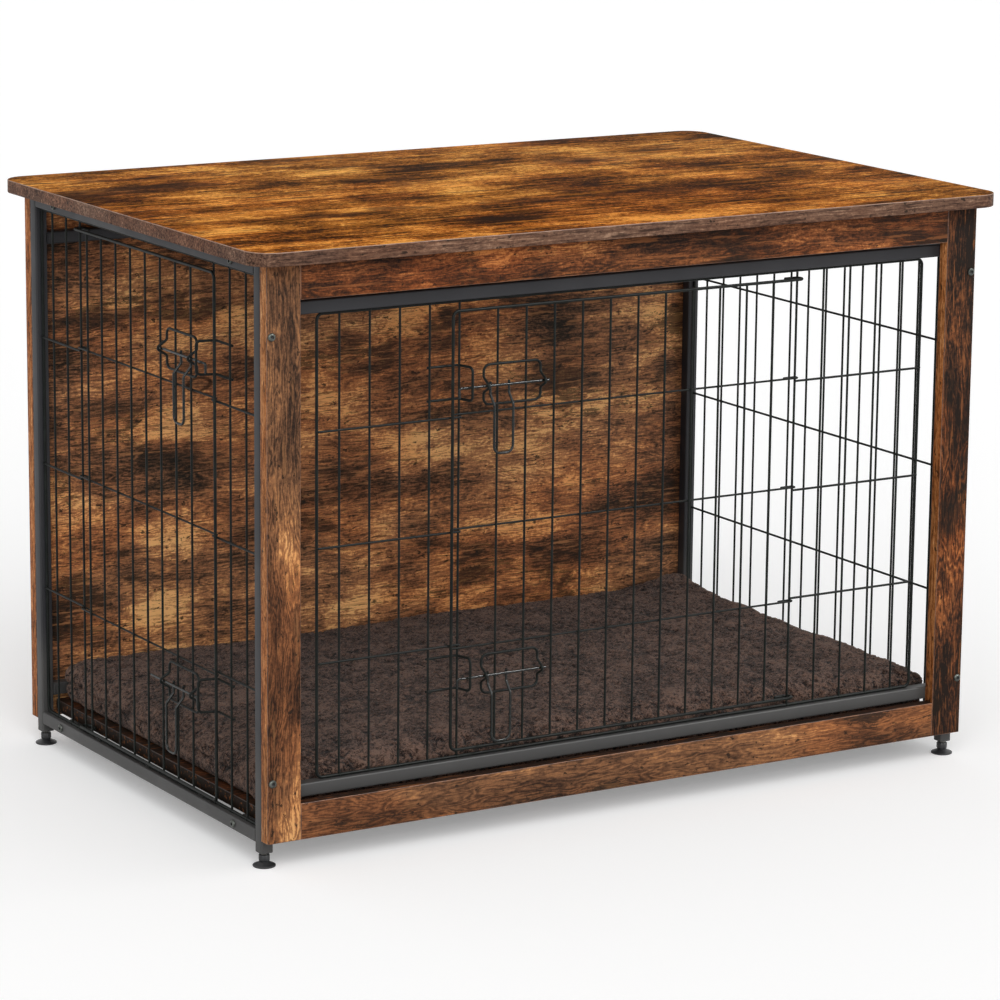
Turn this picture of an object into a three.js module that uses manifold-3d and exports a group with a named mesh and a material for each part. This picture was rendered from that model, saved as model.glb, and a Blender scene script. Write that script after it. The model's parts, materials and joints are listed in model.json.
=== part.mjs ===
// A dog crate made as a piece of furniture: a welded steel frame, wire walls on three sides, wooden
// boards on the top, front and back, and two wire doors that hang outside their doorways.
//
// Millimetres. X runs across the front, Y from front to back, Z up. The origin is on the floor, under
// the middle of the top board. The front faces -Y.

import * as THREE from 'three';
import { mergeVertices } from 'three/addons/utils/BufferGeometryUtils.js';
import Module from 'manifold-3d';

// ---------------------------------------------------------------------------- boards
const HEIGHT = 681;
const TOP_LENGTH = 978;
const TOP_WIDTH = 650;
const TOP_THICKNESS = 15;
const TOP_CORNER_RADIUS = 30;
const TOP_OVERHANG = 22;
const FRONT_BOARD_THICKNESS = 15;
const BACK_BOARD_THICKNESS = 15;
const BOARDS_ABOVE_FLOOR = 30.5;
const FRONT_POST_WIDTH = 41;
const FRONT_TOP_RAIL_WIDTH = 41;
const FRONT_BOTTOM_RAIL_WIDTH = 41;
const FLOOR_BOARD_THICKNESS = 15;
const FLOOR_BOARD_CLEARANCE = 2;

// ---------------------------------------------------------------------------- steel frame
const TUBE = 15;
const TUBE_WALL = 1.5;
const TUBE_PLUG = 12; // solid threaded end of a tube that takes a screw or a foot
const POST_ABOVE_FLOOR = 16;
const SIDE_RAIL_ABOVE_FLOOR = 26;
const FRONT_LOWER_TUBE_ABOVE_FLOOR = 73.5;
const FRONT_UPPER_TUBE_BELOW_TOP = 60;
const BACK_LOWER_TUBE_ABOVE_FLOOR = 60;
const BACK_UPPER_TUBE_BELOW_TOP = 60;
const CROSSBAR_FROM_POST = 51; // from the post's inner face to the crossbar's centre line

// ---------------------------------------------------------------------------- levelling feet
const FOOT_RADIUS = 12.8;
const FOOT_RIM = 2.4;
const FOOT_CONE_HEIGHT = 5;
const FOOT_HUB_RADIUS = 6.3;
const FOOT_HUB_HEIGHT = 13.5;
const FOOT_STUD_RADIUS = 4;
const FOOT_STUD_IN_POST = 18;

// ---------------------------------------------------------------------------- screws
const SCREW_RADIUS = 2;
const SCREW_HEAD_HEIGHT = 2.4;
const SCREW_HEAD_BEVEL = 1.2;
const SCREW_SOCKET_RADIUS = 1.8;
const SCREW_SOCKET_DEPTH = 1.5;
const LARGE_HEAD_RADIUS = 4.6;
const SMALL_HEAD_RADIUS = 3.6;
const FRONT_SCREW_INSET = 6; // from the outer side of the body
const FRONT_SCREW_BELOW_TOP = 78;
const FRONT_SCREW_ABOVE_BOARD_END = 68;
const FRONT_SCREW_LENGTH = 22;
const SIDE_SCREW_LENGTH = 25;

// ---------------------------------------------------------------------------- wire walls
const WIRE_RADIUS = 1.2;
const FRAME_WIRE_RADIUS = 1.8;
const HINGE_WIRE_RADIUS = 1.4;
const LATCH_WIRE_RADIUS = 1.5;
const WELD = 0.4; // how far two crossing wires sink into each other
const FRAME_WELD = 0.5;
const WALL_PITCH = 37.3;
const FRAME_BEND = 7; // bend radius of a wall's or door's frame wire
const FRONT_WALL_WIDTH = 801.2;
const FRONT_WALL_OFFSET = 6; // the front wall is welded a little to the right of the middle
const FRONT_DOORWAY = 447.6;
const SIDE_DOORWAY = 335.6;
const WALL_ROWS = 3;
const ROW_STUB = 2; // a row wire runs this far past the last upright
const TACK_TABS = [-130, 0, 135]; // places of the weld tabs on the side rails
const TACK_TAB_LENGTH = 14;
const TACK_TAB_WIDTH = 6;
const TACK_TAB_HEIGHT = 2.5;

// ---------------------------------------------------------------------------- doors
const DOOR_LAP = 11; // a closed door laps the wall by this at its latch side
const DOOR_BELOW_WALL_TOP = 10;
const FRONT_DOOR_ABOVE_WALL_BOTTOM = 9.2;
const SIDE_DOOR_ABOVE_WALL_BOTTOM = 5;
const DOOR_LATCH_BAY = 57; // from the door's frame wire to its first upright
const FRONT_DOOR_HINGE_BAY = 36; // from the last upright to the hinge wire
const SIDE_DOOR_HINGE_BAY = 28;
const FRONT_DOOR_UPRIGHTS = 11;
const SIDE_DOOR_UPRIGHTS = 8;
const ROW_STAGGER = 3.5; // door rows pass this far above or below the wall's rows
const HINGE_CLEARANCE = 0.3;
const HOOK_TAIL = 14;

// ---------------------------------------------------------------------------- latches
const FRONT_UPPER_BOLT_HEIGHT = 510;
const FRONT_LOWER_BOLT_HEIGHT = 183;
const SIDE_UPPER_BOLT_HEIGHT = 540;
const SIDE_LOWER_BOLT_HEIGHT = 161;
const GUIDE_START = 27; // these distances run from the stop wire towards the hinge
const GUIDE_WIDTH = 73;
const GUIDE_HEIGHT = 44.5;
const GUIDE_BEND = 7.5;
const KINK_HEIGHT = 17;
const KINK_DEPTH = 14;
const KINK_BEND = 3;
const BOLT_STANDOFF = 7.5; // from the guide's plane to the bolt's axis
const BOLT_REACH = 8; // locked, the bolt's end lies this far beyond the stop wire
const BOLT_STUB = 7; // and its other end this far beyond the guide
const BOLT_TRAVEL = 24;
const BOLT_HOOK_DROP = 11.5;
const BOLT_HOOK_SHANK = 4;
const BOLT_HOOK_BEND = 1.8;
const HANDLE_START = 33;
const HANDLE_WIDTH = 24;
const HANDLE_DROP = 75;
const HANDLE_STUB = 4;
const HANDLE_BEND = 8;
const HANDLE_CLEARANCE = 0.3;
const HANDLE_JOG_TOP = 10;
const HANDLE_JOG_BOTTOM = 21;
const HANDLE_JOG_OUT = 6;
const KEEPER_BAR = 6; // from the stop wire
const KEEPER_RISE = 23;
const KEEPER_DROP = 14.2;
const KEEPER_CLEARANCE = 1.3;
const KEEPER_BEND = 5;
const KEEPER_PAST_SECOND_UPRIGHT = 2;

// ---------------------------------------------------------------------------- cushion
const CUSHION_SIDE_GAP = 5;
const CUSHION_END_GAP = 6;
const CUSHION_THICKNESS = 46;
const CUSHION_EDGE = 16;
const CUSHION_CORNER_RADIUS = 45;

// ---------------------------------------------------------------------------- fits and facets
const SCREW_CLEARANCE = 0.3;
const STUD_CLEARANCE = 0.3;
const SEAT = 0.3;
const CUT_OVERRUN = 1;
const WIRE_SIDES = 6;
const BEND_STEPS = 2;
const HOOK_STEPS = 4;
const ROUND_SIDES = 12;
const SCREW_SIDES = 8;
const CORNER_SEGMENTS = 4;
const CUSHION_SEGMENTS = 2;

// ---------------------------------------------------------------------------- worked-out places
const bodyX = TOP_LENGTH / 2 - TOP_OVERHANG;
const bodyY = TOP_WIDTH / 2 - TOP_OVERHANG;
const underTop = HEIGHT - TOP_THICKNESS;
const frameFront = -bodyY + FRONT_BOARD_THICKNESS;
const frameBack = bodyY - BACK_BOARD_THICKNESS;
const innerX = bodyX - TUBE;
const innerFront = frameFront + TUBE;
const innerBack = frameBack - TUBE;
const tubeX = bodyX - TUBE / 2;
const frontTubeY = frameFront + TUBE / 2;
const sideRailTop = SIDE_RAIL_ABOVE_FLOOR + TUBE;
const upperRailBottom = underTop - TUBE;
const frontUpperTube = underTop - FRONT_UPPER_TUBE_BELOW_TOP;
const backUpperTube = underTop - BACK_UPPER_TUBE_BELOW_TOP;
const crossbarYs = [innerFront + CROSSBAR_FROM_POST, innerBack - CROSSBAR_FROM_POST];
const floorBoardTop = sideRailTop + FLOOR_BOARD_THICKNESS;
const sideWallWidth = innerBack - innerFront - 2 * FRAME_WIRE_RADIUS;
const sideWallY = (innerFront + innerBack) / 2;

// The layers of a wall, as distances outward from the plane of its uprights.
const wallRowLayer = 2 * WIRE_RADIUS - WELD;
const doorRowLayer = HINGE_WIRE_RADIUS + HINGE_CLEARANCE + WIRE_RADIUS;
const doorUprightLayer = doorRowLayer + 2 * WIRE_RADIUS - WELD;
const doorFrameLayer = doorRowLayer + WIRE_RADIUS + FRAME_WIRE_RADIUS - FRAME_WELD;
const guideLayer = doorUprightLayer + WIRE_RADIUS + LATCH_WIRE_RADIUS - WELD;
const boltLayer = guideLayer + BOLT_STANDOFF;
const keeperBarLayer = boltLayer + 2 * LATCH_WIRE_RADIUS + KEEPER_CLEARANCE;
const keeperArmLayer = -(WIRE_RADIUS + LATCH_WIRE_RADIUS - WELD);

// ---------------------------------------------------------------------------- materials
const paint = (color, roughness, metalness) => new THREE.MeshStandardMaterial({ color, roughness, metalness });
const woodTop = () => paint(0xb5652b, 0.45, 0);
const woodFront = () => paint(0xa86236, 0.5, 0);
const woodBack = () => paint(0x8f4a2a, 0.5, 0);
const steel = () => paint(0x3f3f43, 0.5, 0.4);
const blackWire = () => paint(0x1c1d1d, 0.35, 0.5);
const screwSteel = () => paint(0x8c8c90, 0.35, 0.9);
const blackPlastic = () => paint(0x2b2b2d, 0.6, 0);
const plush = () => paint(0x4f3c36, 1, 0);

// ---------------------------------------------------------------------------- solids
const wasm = await Module();
wasm.setup();

/** The closed solid of a geometry whose faces all meet. */
function solid(geometry) {
  const bare = geometry.clone();
  bare.deleteAttribute('normal');
  bare.deleteAttribute('uv');
  const merged = mergeVertices(bare, 1e-4);
  const corners = merged.index.array;
  const triangles = [];
  for (let i = 0; i < corners.length; i += 3) {
    const [a, b, c] = [corners[i], corners[i + 1], corners[i + 2]];
    if (a !== b && b !== c && c !== a) triangles.push(a, b, c);
  }
  return new wasm.Manifold(new wasm.Mesh({
    numProp: 3,
    vertProperties: new Float32Array(merged.attributes.position.array),
    triVerts: new Uint32Array(triangles),
  }));
}

/** The geometry of a solid. */
function geometryOf(manifold) {
  const mesh = manifold.getMesh();
  const geometry = new THREE.BufferGeometry();
  geometry.setAttribute('position', new THREE.BufferAttribute(mesh.vertProperties, 3));
  geometry.setIndex(new THREE.BufferAttribute(mesh.triVerts, 1));
  geometry.computeVertexNormals();
  return geometry;
}

const join = (solids) => solids.reduce((whole, next) => whole.add(next));
const cut = (whole, cutters) => cutters.reduce((rest, cutter) => rest.subtract(cutter), whole);

/** A box between two opposite corners. */
function box([x0, y0, z0], [x1, y1, z1]) {
  const geometry = new THREE.BoxGeometry(x1 - x0, y1 - y0, z1 - z0);
  geometry.translate((x0 + x1) / 2, (y0 + y1) / 2, (z0 + z1) / 2);
  return geometry;
}

/** A round bar from one point to another. */
function roundBar(from, to, radius, sides) {
  const along = new THREE.Vector3().subVectors(to, from);
  const geometry = new THREE.CylinderGeometry(radius, radius, along.length(), sides);
  const turn = new THREE.Quaternion().setFromUnitVectors(new THREE.Vector3(0, 1, 0), along.clone().normalize());
  geometry.applyQuaternion(turn);
  geometry.translate(...new THREE.Vector3().addVectors(from, to).divideScalar(2).toArray());
  return geometry;
}

/** A mesh whose geometry is centred on its own place in the parent group. */
function piece(name, material, geometry) {
  geometry.computeBoundingBox();
  const centre = geometry.boundingBox.getCenter(new THREE.Vector3());
  geometry.translate(-centre.x, -centre.y, -centre.z);
  const mesh = new THREE.Mesh(geometry, material);
  mesh.name = name;
  mesh.position.copy(centre);
  return mesh;
}

// ---------------------------------------------------------------------------- wires

/** The path of a bent wire through a list of points, with a ridge of its section kept to one side. */
class WirePath extends THREE.Curve {
  constructor(points, ridge) {
    super();
    this.points = points;
    this.ridge = ridge;
  }

  getPoint(t) {
    return this.points[Math.round(t * (this.points.length - 1))].clone();
  }

  getSpacedPoints() {
    return this.points.map((point) => point.clone());
  }

  directionFrom(index) {
    return new THREE.Vector3().subVectors(this.points[index + 1], this.points[index]).normalize();
  }

  tangentAt(index) {
    const last = this.points.length - 1;
    const before = this.directionFrom(Math.max(index - 1, 0));
    const after = this.directionFrom(Math.min(index, last - 1));
    return before.add(after).normalize();
  }

  computeFrenetFrames() {
    const tangents = this.points.map((point, index) => this.tangentAt(index));
    const first = this.ridge.clone().addScaledVector(tangents[0], -this.ridge.dot(tangents[0])).normalize();
    const normals = [first];
    for (let i = 1; i < tangents.length; i += 1) {
      const turn = new THREE.Quaternion().setFromUnitVectors(tangents[i - 1], tangents[i]);
      normals.push(normals[i - 1].clone().applyQuaternion(turn));
    }
    const binormals = tangents.map((tangent, i) => new THREE.Vector3().crossVectors(tangent, normals[i]));
    return { tangents, normals, binormals };
  }
}

/** A wire along a list of points; every wire turns a ridge of its section to the wall's outside. */
function wire(points, radius) {
  const corners = Array.from({ length: WIRE_SIDES }, (unused, i) => {
    const angle = (i * 2 * Math.PI) / WIRE_SIDES;
    return new THREE.Vector2(radius * Math.cos(angle), radius * Math.sin(angle));
  });
  const path = new WirePath(points, new THREE.Vector3(0, 1, 0));
  const options = { steps: points.length - 1, extrudePath: path };
  return solid(new THREE.ExtrudeGeometry(new THREE.Shape(corners), options));
}

/** A list of points with every inner corner bent round to a radius. */
function bent(points, radius) {
  const rounded = [points[0]];
  for (let i = 1; i < points.length - 1; i += 1) {
    const corner = points[i];
    const back = new THREE.Vector3().subVectors(points[i - 1], corner).normalize();
    const on = new THREE.Vector3().subVectors(points[i + 1], corner).normalize();
    const halfAngle = back.angleTo(on) / 2;
    const middle = new THREE.Vector3().addVectors(back, on).normalize();
    const centre = corner.clone().addScaledVector(middle, radius / Math.sin(halfAngle));
    const start = corner.clone().addScaledVector(back, radius / Math.tan(halfAngle)).sub(centre);
    const axis = new THREE.Vector3().crossVectors(back, on).normalize();
    const sweep = -(Math.PI - 2 * halfAngle);
    for (let step = 0; step <= BEND_STEPS; step += 1) {
      const spoke = start.clone().applyAxisAngle(axis, (sweep * step) / BEND_STEPS);
      rounded.push(spoke.add(centre));
    }
  }
  rounded.push(points[points.length - 1]);
  return rounded;
}

/** A point of a wall: along it, outward from the plane of its uprights, and up. */
const at = (along, out, up) => new THREE.Vector3(along, -out, up);

const upright = (along, out, bottom, top, radius) => wire([at(along, out, bottom), at(along, out, top)], radius);
const row = (from, to, out, height) => wire([at(from, out, height), at(to, out, height)], WIRE_RADIUS);

/** A closed frame of thick wire, as a left and a right half that meet in the middle. */
function wallFrame(width, bottom, top) {
  return [-1, 1].map((side) => {
    const edge = (side * width) / 2;
    const points = [at(0, 0, top), at(edge, 0, top), at(edge, 0, bottom), at(0, 0, bottom)];
    return wire(bent(points, FRAME_BEND), FRAME_WIRE_RADIUS);
  });
}

/** The heights of the row wires of a wall or door between two frame wires. */
function rowHeights(bottom, top) {
  return Array.from({ length: WALL_ROWS }, (unused, i) => bottom + ((top - bottom) * (i + 1)) / (WALL_ROWS + 1));
}

/** The distances from the middle of a wall to its uprights on one side. */
function uprightPlaces(first, width) {
  const places = [];
  for (let along = first; along < (width - WALL_PITCH) / 2; along += WALL_PITCH) places.push(along);
  return places;
}

// ---------------------------------------------------------------------------- latches

/** The latch of a door at one height, measured from the stop wire towards the hinge wire. */
class Latch {
  constructor(name, door, height, withdrawn) {
    this.name = name;
    this.door = door;
    this.height = height;
    this.slid = withdrawn ? BOLT_TRAVEL : 0;
  }

  /** A point of the latch's fixed wires. */
  fixed(fromStop, out, up) {
    return at(this.door.stop + this.door.hand * fromStop, out, this.height + up);
  }

  /** A point of the bolt or its handle, where the bolt stands. */
  moving(fromStop, out, up) {
    return this.fixed(fromStop + this.slid, out, up);
  }

  /** The loop on the door that guides the bolt in two outward kinks, as two halves. */
  guide() {
    const [bottom, top] = [-GUIDE_HEIGHT / 2, GUIDE_HEIGHT / 2];
    const middle = GUIDE_START + GUIDE_WIDTH / 2;
    return [GUIDE_START, GUIDE_START + GUIDE_WIDTH].map((edge) => {
      const kinkTop = this.fixed(edge, guideLayer, KINK_HEIGHT / 2);
      const kinkTip = this.fixed(edge, guideLayer + KINK_DEPTH, 0);
      const kinkBottom = this.fixed(edge, guideLayer, -KINK_HEIGHT / 2);
      const upper = bent([this.fixed(middle, guideLayer, top), this.fixed(edge, guideLayer, top), kinkTop], GUIDE_BEND);
      const kink = bent([kinkTop, kinkTip, kinkBottom], KINK_BEND);
      const lower = bent([kinkBottom, this.fixed(edge, guideLayer, bottom), this.fixed(middle, guideLayer, bottom)],
        GUIDE_BEND);
      return wire([...upper, ...kink.slice(1, -1), ...lower], LATCH_WIRE_RADIUS);
    });
  }

  /** The wire on the wall whose upright bar holds the bolt. */
  keeper() {
    const end = -(WALL_PITCH + KEEPER_PAST_SECOND_UPRIGHT);
    const [bottom, top] = [-KEEPER_DROP, KEEPER_RISE];
    const points = [
      this.fixed(end, keeperArmLayer, top),
      this.fixed(0, keeperArmLayer, top),
      this.fixed(KEEPER_BAR, keeperBarLayer, top),
      this.fixed(KEEPER_BAR, keeperBarLayer, bottom),
      this.fixed(0, keeperArmLayer, bottom),
      this.fixed(end, keeperArmLayer, bottom),
    ];
    return wire(bent(points, KEEPER_BEND), LATCH_WIRE_RADIUS);
  }

  rod() {
    const from = this.moving(-BOLT_REACH + BOLT_HOOK_SHANK + SEAT, boltLayer, 0);
    const to = this.moving(GUIDE_START + GUIDE_WIDTH + BOLT_STUB, boltLayer, 0);
    const geometry = geometryOf(wire([from, to], LATCH_WIRE_RADIUS));
    return piece(`${this.name}_bolt_rod`, blackWire(), geometry);
  }

  hook() {
    const points = [
      this.moving(-BOLT_REACH + BOLT_HOOK_SHANK, boltLayer, 0),
      this.moving(-BOLT_REACH, boltLayer, 0),
      this.moving(-BOLT_REACH, boltLayer, -BOLT_HOOK_DROP),
    ];
    const geometry = geometryOf(wire(bent(points, BOLT_HOOK_BEND), LATCH_WIRE_RADIUS));
    return piece(`${this.name}_bolt_hook`, blackWire(), geometry);
  }

  handle() {
    const inner = boltLayer - 2 * LATCH_WIRE_RADIUS - HANDLE_CLEARANCE;
    const outer = boltLayer + HANDLE_JOG_OUT;
    const leg = (along) => [
      this.moving(along, inner, HANDLE_STUB),
      this.moving(along, inner, -HANDLE_JOG_TOP),
      this.moving(along, outer, -HANDLE_JOG_BOTTOM),
      this.moving(along, outer, -HANDLE_DROP),
    ];
    const near = leg(HANDLE_START);
    const far = leg(HANDLE_START + HANDLE_WIDTH).reverse();
    const loop = bent([near[2], near[3], far[0], far[1]], HANDLE_BEND);
    const geometry = geometryOf(wire([...near.slice(0, 2), ...loop, ...far.slice(2)], LATCH_WIRE_RADIUS));
    return piece(`${this.name}_bolt_handle`, blackWire(), geometry);
  }

  pieces() {
    return [this.rod(), this.hook(), this.handle()];
  }
}

// ---------------------------------------------------------------------------- walls and doors

/** A wire wall with a doorway between a stop wire and a hinge wire, both of them uprights. */
function doorwayWall(name, width, doorway, bottom, top, hand, latches, extras) {
  const rows = rowHeights(bottom, top);
  const solids = wallFrame(width, bottom, top);
  [-hand, hand].forEach((side) => {
    const hinged = side === hand;
    uprightPlaces(doorway / 2, width).forEach((place, index) => {
      const radius = hinged && index === 0 ? HINGE_WIRE_RADIUS : WIRE_RADIUS;
      solids.push(upright(side * place, 0, bottom, top, radius));
    });
    const inner = side * (doorway / 2 - (hinged ? HINGE_WIRE_RADIUS : ROW_STUB));
    const outer = (side * width) / 2;
    rows.forEach((height) => solids.push(row(Math.min(inner, outer), Math.max(inner, outer), wallRowLayer, height)));
  });
  latches.forEach((latch) => solids.push(latch.keeper()));
  return piece(name, blackWire(), geometryOf(join([...solids, ...extras])));
}

/** A wire wall with uprights all the way across. */
function plainWall(name, width, bottom, top, extras) {
  const solids = wallFrame(width, bottom, top);
  uprightPlaces(WALL_PITCH / 2, width).forEach((place) => {
    [-place, place].forEach((along) => solids.push(upright(along, 0, bottom, top, WIRE_RADIUS)));
  });
  rowHeights(bottom, top).forEach((height) => solids.push(row(-width / 2, width / 2, wallRowLayer, height)));
  return piece(name, blackWire(), geometryOf(join([...solids, ...extras])));
}

/** The small weld tabs that hold a side wall's bottom wire to the rail. */
function tackTabs() {
  return TACK_TABS.map((place) => solid(box(
    [place - TACK_TAB_LENGTH / 2, -TACK_TAB_WIDTH / 2, sideRailTop],
    [place + TACK_TAB_LENGTH / 2, TACK_TAB_WIDTH / 2, sideRailTop + TACK_TAB_HEIGHT],
  )));
}

/** A row or frame wire's hook round the hinge wire, from its tail to the front of the hinge. */
function hinge(door, out, height) {
  const points = [at(door.hinge - door.hand * HOOK_TAIL, -out, height)];
  for (let step = 0; step <= HOOK_STEPS; step += 1) {
    const angle = (Math.PI * step) / HOOK_STEPS;
    points.push(at(door.hinge + door.hand * out * Math.sin(angle), -out * Math.cos(angle), height));
  }
  return points;
}

/** A wire door whose row and frame wires hook round the hinge wire. */
function wireDoor(name, door, latches) {
  const edge = door.stop - door.hand * DOOR_LAP;
  const { bottom, top } = door;
  const frame = [
    ...hinge(door, doorFrameLayer, top),
    ...bent([at(door.hinge, doorFrameLayer, top), at(edge, doorFrameLayer, top), at(edge, doorFrameLayer, bottom),
      at(door.hinge, doorFrameLayer, bottom)], FRAME_BEND).slice(1, -1),
    ...hinge(door, doorFrameLayer, bottom).reverse(),
  ];
  const solids = [wire(frame, FRAME_WIRE_RADIUS)];
  door.rows.forEach((height) => {
    const points = [...hinge(door, doorRowLayer, height), at(edge, doorRowLayer, height)];
    solids.push(wire(points, WIRE_RADIUS));
  });
  const first = edge + door.hand * DOOR_LATCH_BAY;
  const last = door.hinge - door.hand * door.hingeBay;
  for (let i = 0; i < door.uprights; i += 1) {
    const along = first + ((last - first) * i) / (door.uprights - 1);
    solids.push(upright(along, doorUprightLayer, bottom, top, WIRE_RADIUS));
  }
  latches.forEach((latch) => solids.push(...latch.guide()));
  return piece(name, blackWire(), geometryOf(join(solids)));
}

/** The sizes of a door in a doorway; hand is 1 when the hinge lies towards positive X of the wall. */
function doorPlan(doorway, hand, wallBottom, wallTop, aboveBottom, hingeBay, uprights) {
  const rows = rowHeights(wallBottom, wallTop).map((height, i) => height + (i === 0 ? -ROW_STAGGER : ROW_STAGGER));
  return {
    hand,
    stop: (-hand * doorway) / 2,
    hinge: (hand * doorway) / 2,
    bottom: wallBottom + aboveBottom,
    top: wallTop - DOOR_BELOW_WALL_TOP,
    rows,
    hingeBay,
    uprights,
  };
}

function frontWall() {
  const bottom = FRONT_LOWER_TUBE_ABOVE_FLOOR + TUBE + FRAME_WIRE_RADIUS;
  const top = frontUpperTube - FRAME_WIRE_RADIUS;
  const door = doorPlan(FRONT_DOORWAY, 1, bottom, top, FRONT_DOOR_ABOVE_WALL_BOTTOM, FRONT_DOOR_HINGE_BAY,
    FRONT_DOOR_UPRIGHTS);
  const latches = [
    new Latch('front_upper', door, FRONT_UPPER_BOLT_HEIGHT, false),
    new Latch('front_lower', door, FRONT_LOWER_BOLT_HEIGHT, false),
  ];
  const group = new THREE.Group();
  group.position.set(FRONT_WALL_OFFSET, frontTubeY, 0);
  group.add(doorwayWall('front_wire_wall', FRONT_WALL_WIDTH, FRONT_DOORWAY, bottom, top, 1, latches, []));
  group.add(wireDoor('front_door', door, latches));
  latches.forEach((latch) => group.add(...latch.pieces()));
  return group;
}

const sideBottom = sideRailTop + FRAME_WIRE_RADIUS;
const sideTop = upperRailBottom - FRAME_WIRE_RADIUS;

function leftWall() {
  const door = doorPlan(SIDE_DOORWAY, -1, sideBottom, sideTop, SIDE_DOOR_ABOVE_WALL_BOTTOM, SIDE_DOOR_HINGE_BAY,
    SIDE_DOOR_UPRIGHTS);
  const latches = [
    new Latch('side_upper', door, SIDE_UPPER_BOLT_HEIGHT, false),
    new Latch('side_lower', door, SIDE_LOWER_BOLT_HEIGHT, true),
  ];
  const group = new THREE.Group();
  group.position.set(-tubeX, sideWallY, 0);
  group.rotation.z = -Math.PI / 2;
  group.add(doorwayWall('left_wire_wall', sideWallWidth, SIDE_DOORWAY, sideBottom, sideTop, -1, latches, tackTabs()));
  group.add(wireDoor('side_door', door, latches));
  latches.forEach((latch) => group.add(...latch.pieces()));
  return group;
}

function rightWall() {
  const group = new THREE.Group();
  group.position.set(tubeX, sideWallY, 0);
  group.rotation.z = Math.PI / 2;
  group.add(plainWall('right_wire_wall', sideWallWidth, sideBottom, sideTop, tackTabs()));
  return group;
}

// ---------------------------------------------------------------------------- boards

function topBoard() {
  const [x, y, r] = [TOP_LENGTH / 2, TOP_WIDTH / 2, TOP_CORNER_RADIUS];
  const outline = new THREE.Shape();
  outline.absarc(x - r, y - r, r, 0, Math.PI / 2);
  outline.absarc(-x + r, y - r, r, Math.PI / 2, Math.PI);
  outline.absarc(-x + r, -y + r, r, Math.PI, 1.5 * Math.PI);
  outline.absarc(x - r, -y + r, r, 1.5 * Math.PI, 2 * Math.PI);
  const geometry = new THREE.ExtrudeGeometry(outline, { depth: TOP_THICKNESS, bevelEnabled: false, curveSegments: CORNER_SEGMENTS });
  geometry.translate(0, 0, underTop);
  return piece('top_board', woodTop(), geometryOf(solid(geometry)));
}

const frontScrewHeights = [BOARDS_ABOVE_FLOOR + FRONT_SCREW_ABOVE_BOARD_END, underTop - FRONT_SCREW_BELOW_TOP];
const frontScrewX = bodyX - FRONT_SCREW_INSET;

/** The clearance hole for a screw that comes in through one face. */
function screwHole(from, to) {
  const along = new THREE.Vector3().subVectors(to, from).setLength(CUT_OVERRUN);
  const start = from.clone().sub(along);
  const end = to.clone().add(along);
  return solid(roundBar(start, end, SCREW_RADIUS + SCREW_CLEARANCE, SCREW_SIDES));
}

function frontScrewHole(side, height, depth) {
  const from = new THREE.Vector3(side * frontScrewX, -bodyY, height);
  return screwHole(from, new THREE.Vector3(side * frontScrewX, -bodyY + depth, height));
}

function boards() {
  const frontBack = [-bodyY, frameFront];
  const postX = bodyX - FRONT_POST_WIDTH;
  const group = new THREE.Group();
  [['left', -1], ['right', 1]].forEach(([name, side]) => {
    const [inside, outside] = [side * postX, side * bodyX];
    const blank = solid(box([Math.min(inside, outside), frontBack[0], BOARDS_ABOVE_FLOOR],
      [Math.max(inside, outside), frontBack[1], underTop]));
    const holes = frontScrewHeights.map((height) => frontScrewHole(side, height, FRONT_BOARD_THICKNESS));
    group.add(piece(`front_${name}_post_board`, woodFront(), geometryOf(cut(blank, holes))));
  });
  group.add(piece('front_top_rail_board', woodFront(),
    box([-postX, frontBack[0], underTop - FRONT_TOP_RAIL_WIDTH], [postX, frontBack[1], underTop])));
  group.add(piece('front_bottom_rail_board', woodFront(),
    box([-postX, frontBack[0], BOARDS_ABOVE_FLOOR],
      [postX, frontBack[1], BOARDS_ABOVE_FLOOR + FRONT_BOTTOM_RAIL_WIDTH])));
  group.add(piece('back_board', woodBack(),
    box([-bodyX, frameBack, BOARDS_ABOVE_FLOOR], [bodyX, bodyY, underTop])));
  group.add(piece('floor_board', woodFront(),
    box([-innerX + FLOOR_BOARD_CLEARANCE, innerFront + FLOOR_BOARD_CLEARANCE, sideRailTop],
      [innerX - FLOOR_BOARD_CLEARANCE, innerBack - FLOOR_BOARD_CLEARANCE, floorBoardTop])));
  return group;
}

// ---------------------------------------------------------------------------- steel frame

/** A square tube with open ends between two corners, running along one axis (0, 1 or 2). */
function squareTube(low, high, axis) {
  const innerLow = low.map((value, i) => (i === axis ? value - CUT_OVERRUN : value + TUBE_WALL));
  const innerHigh = high.map((value, i) => (i === axis ? value + CUT_OVERRUN : value - TUBE_WALL));
  return solid(box(low, high)).subtract(solid(box(innerLow, innerHigh)));
}

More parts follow.
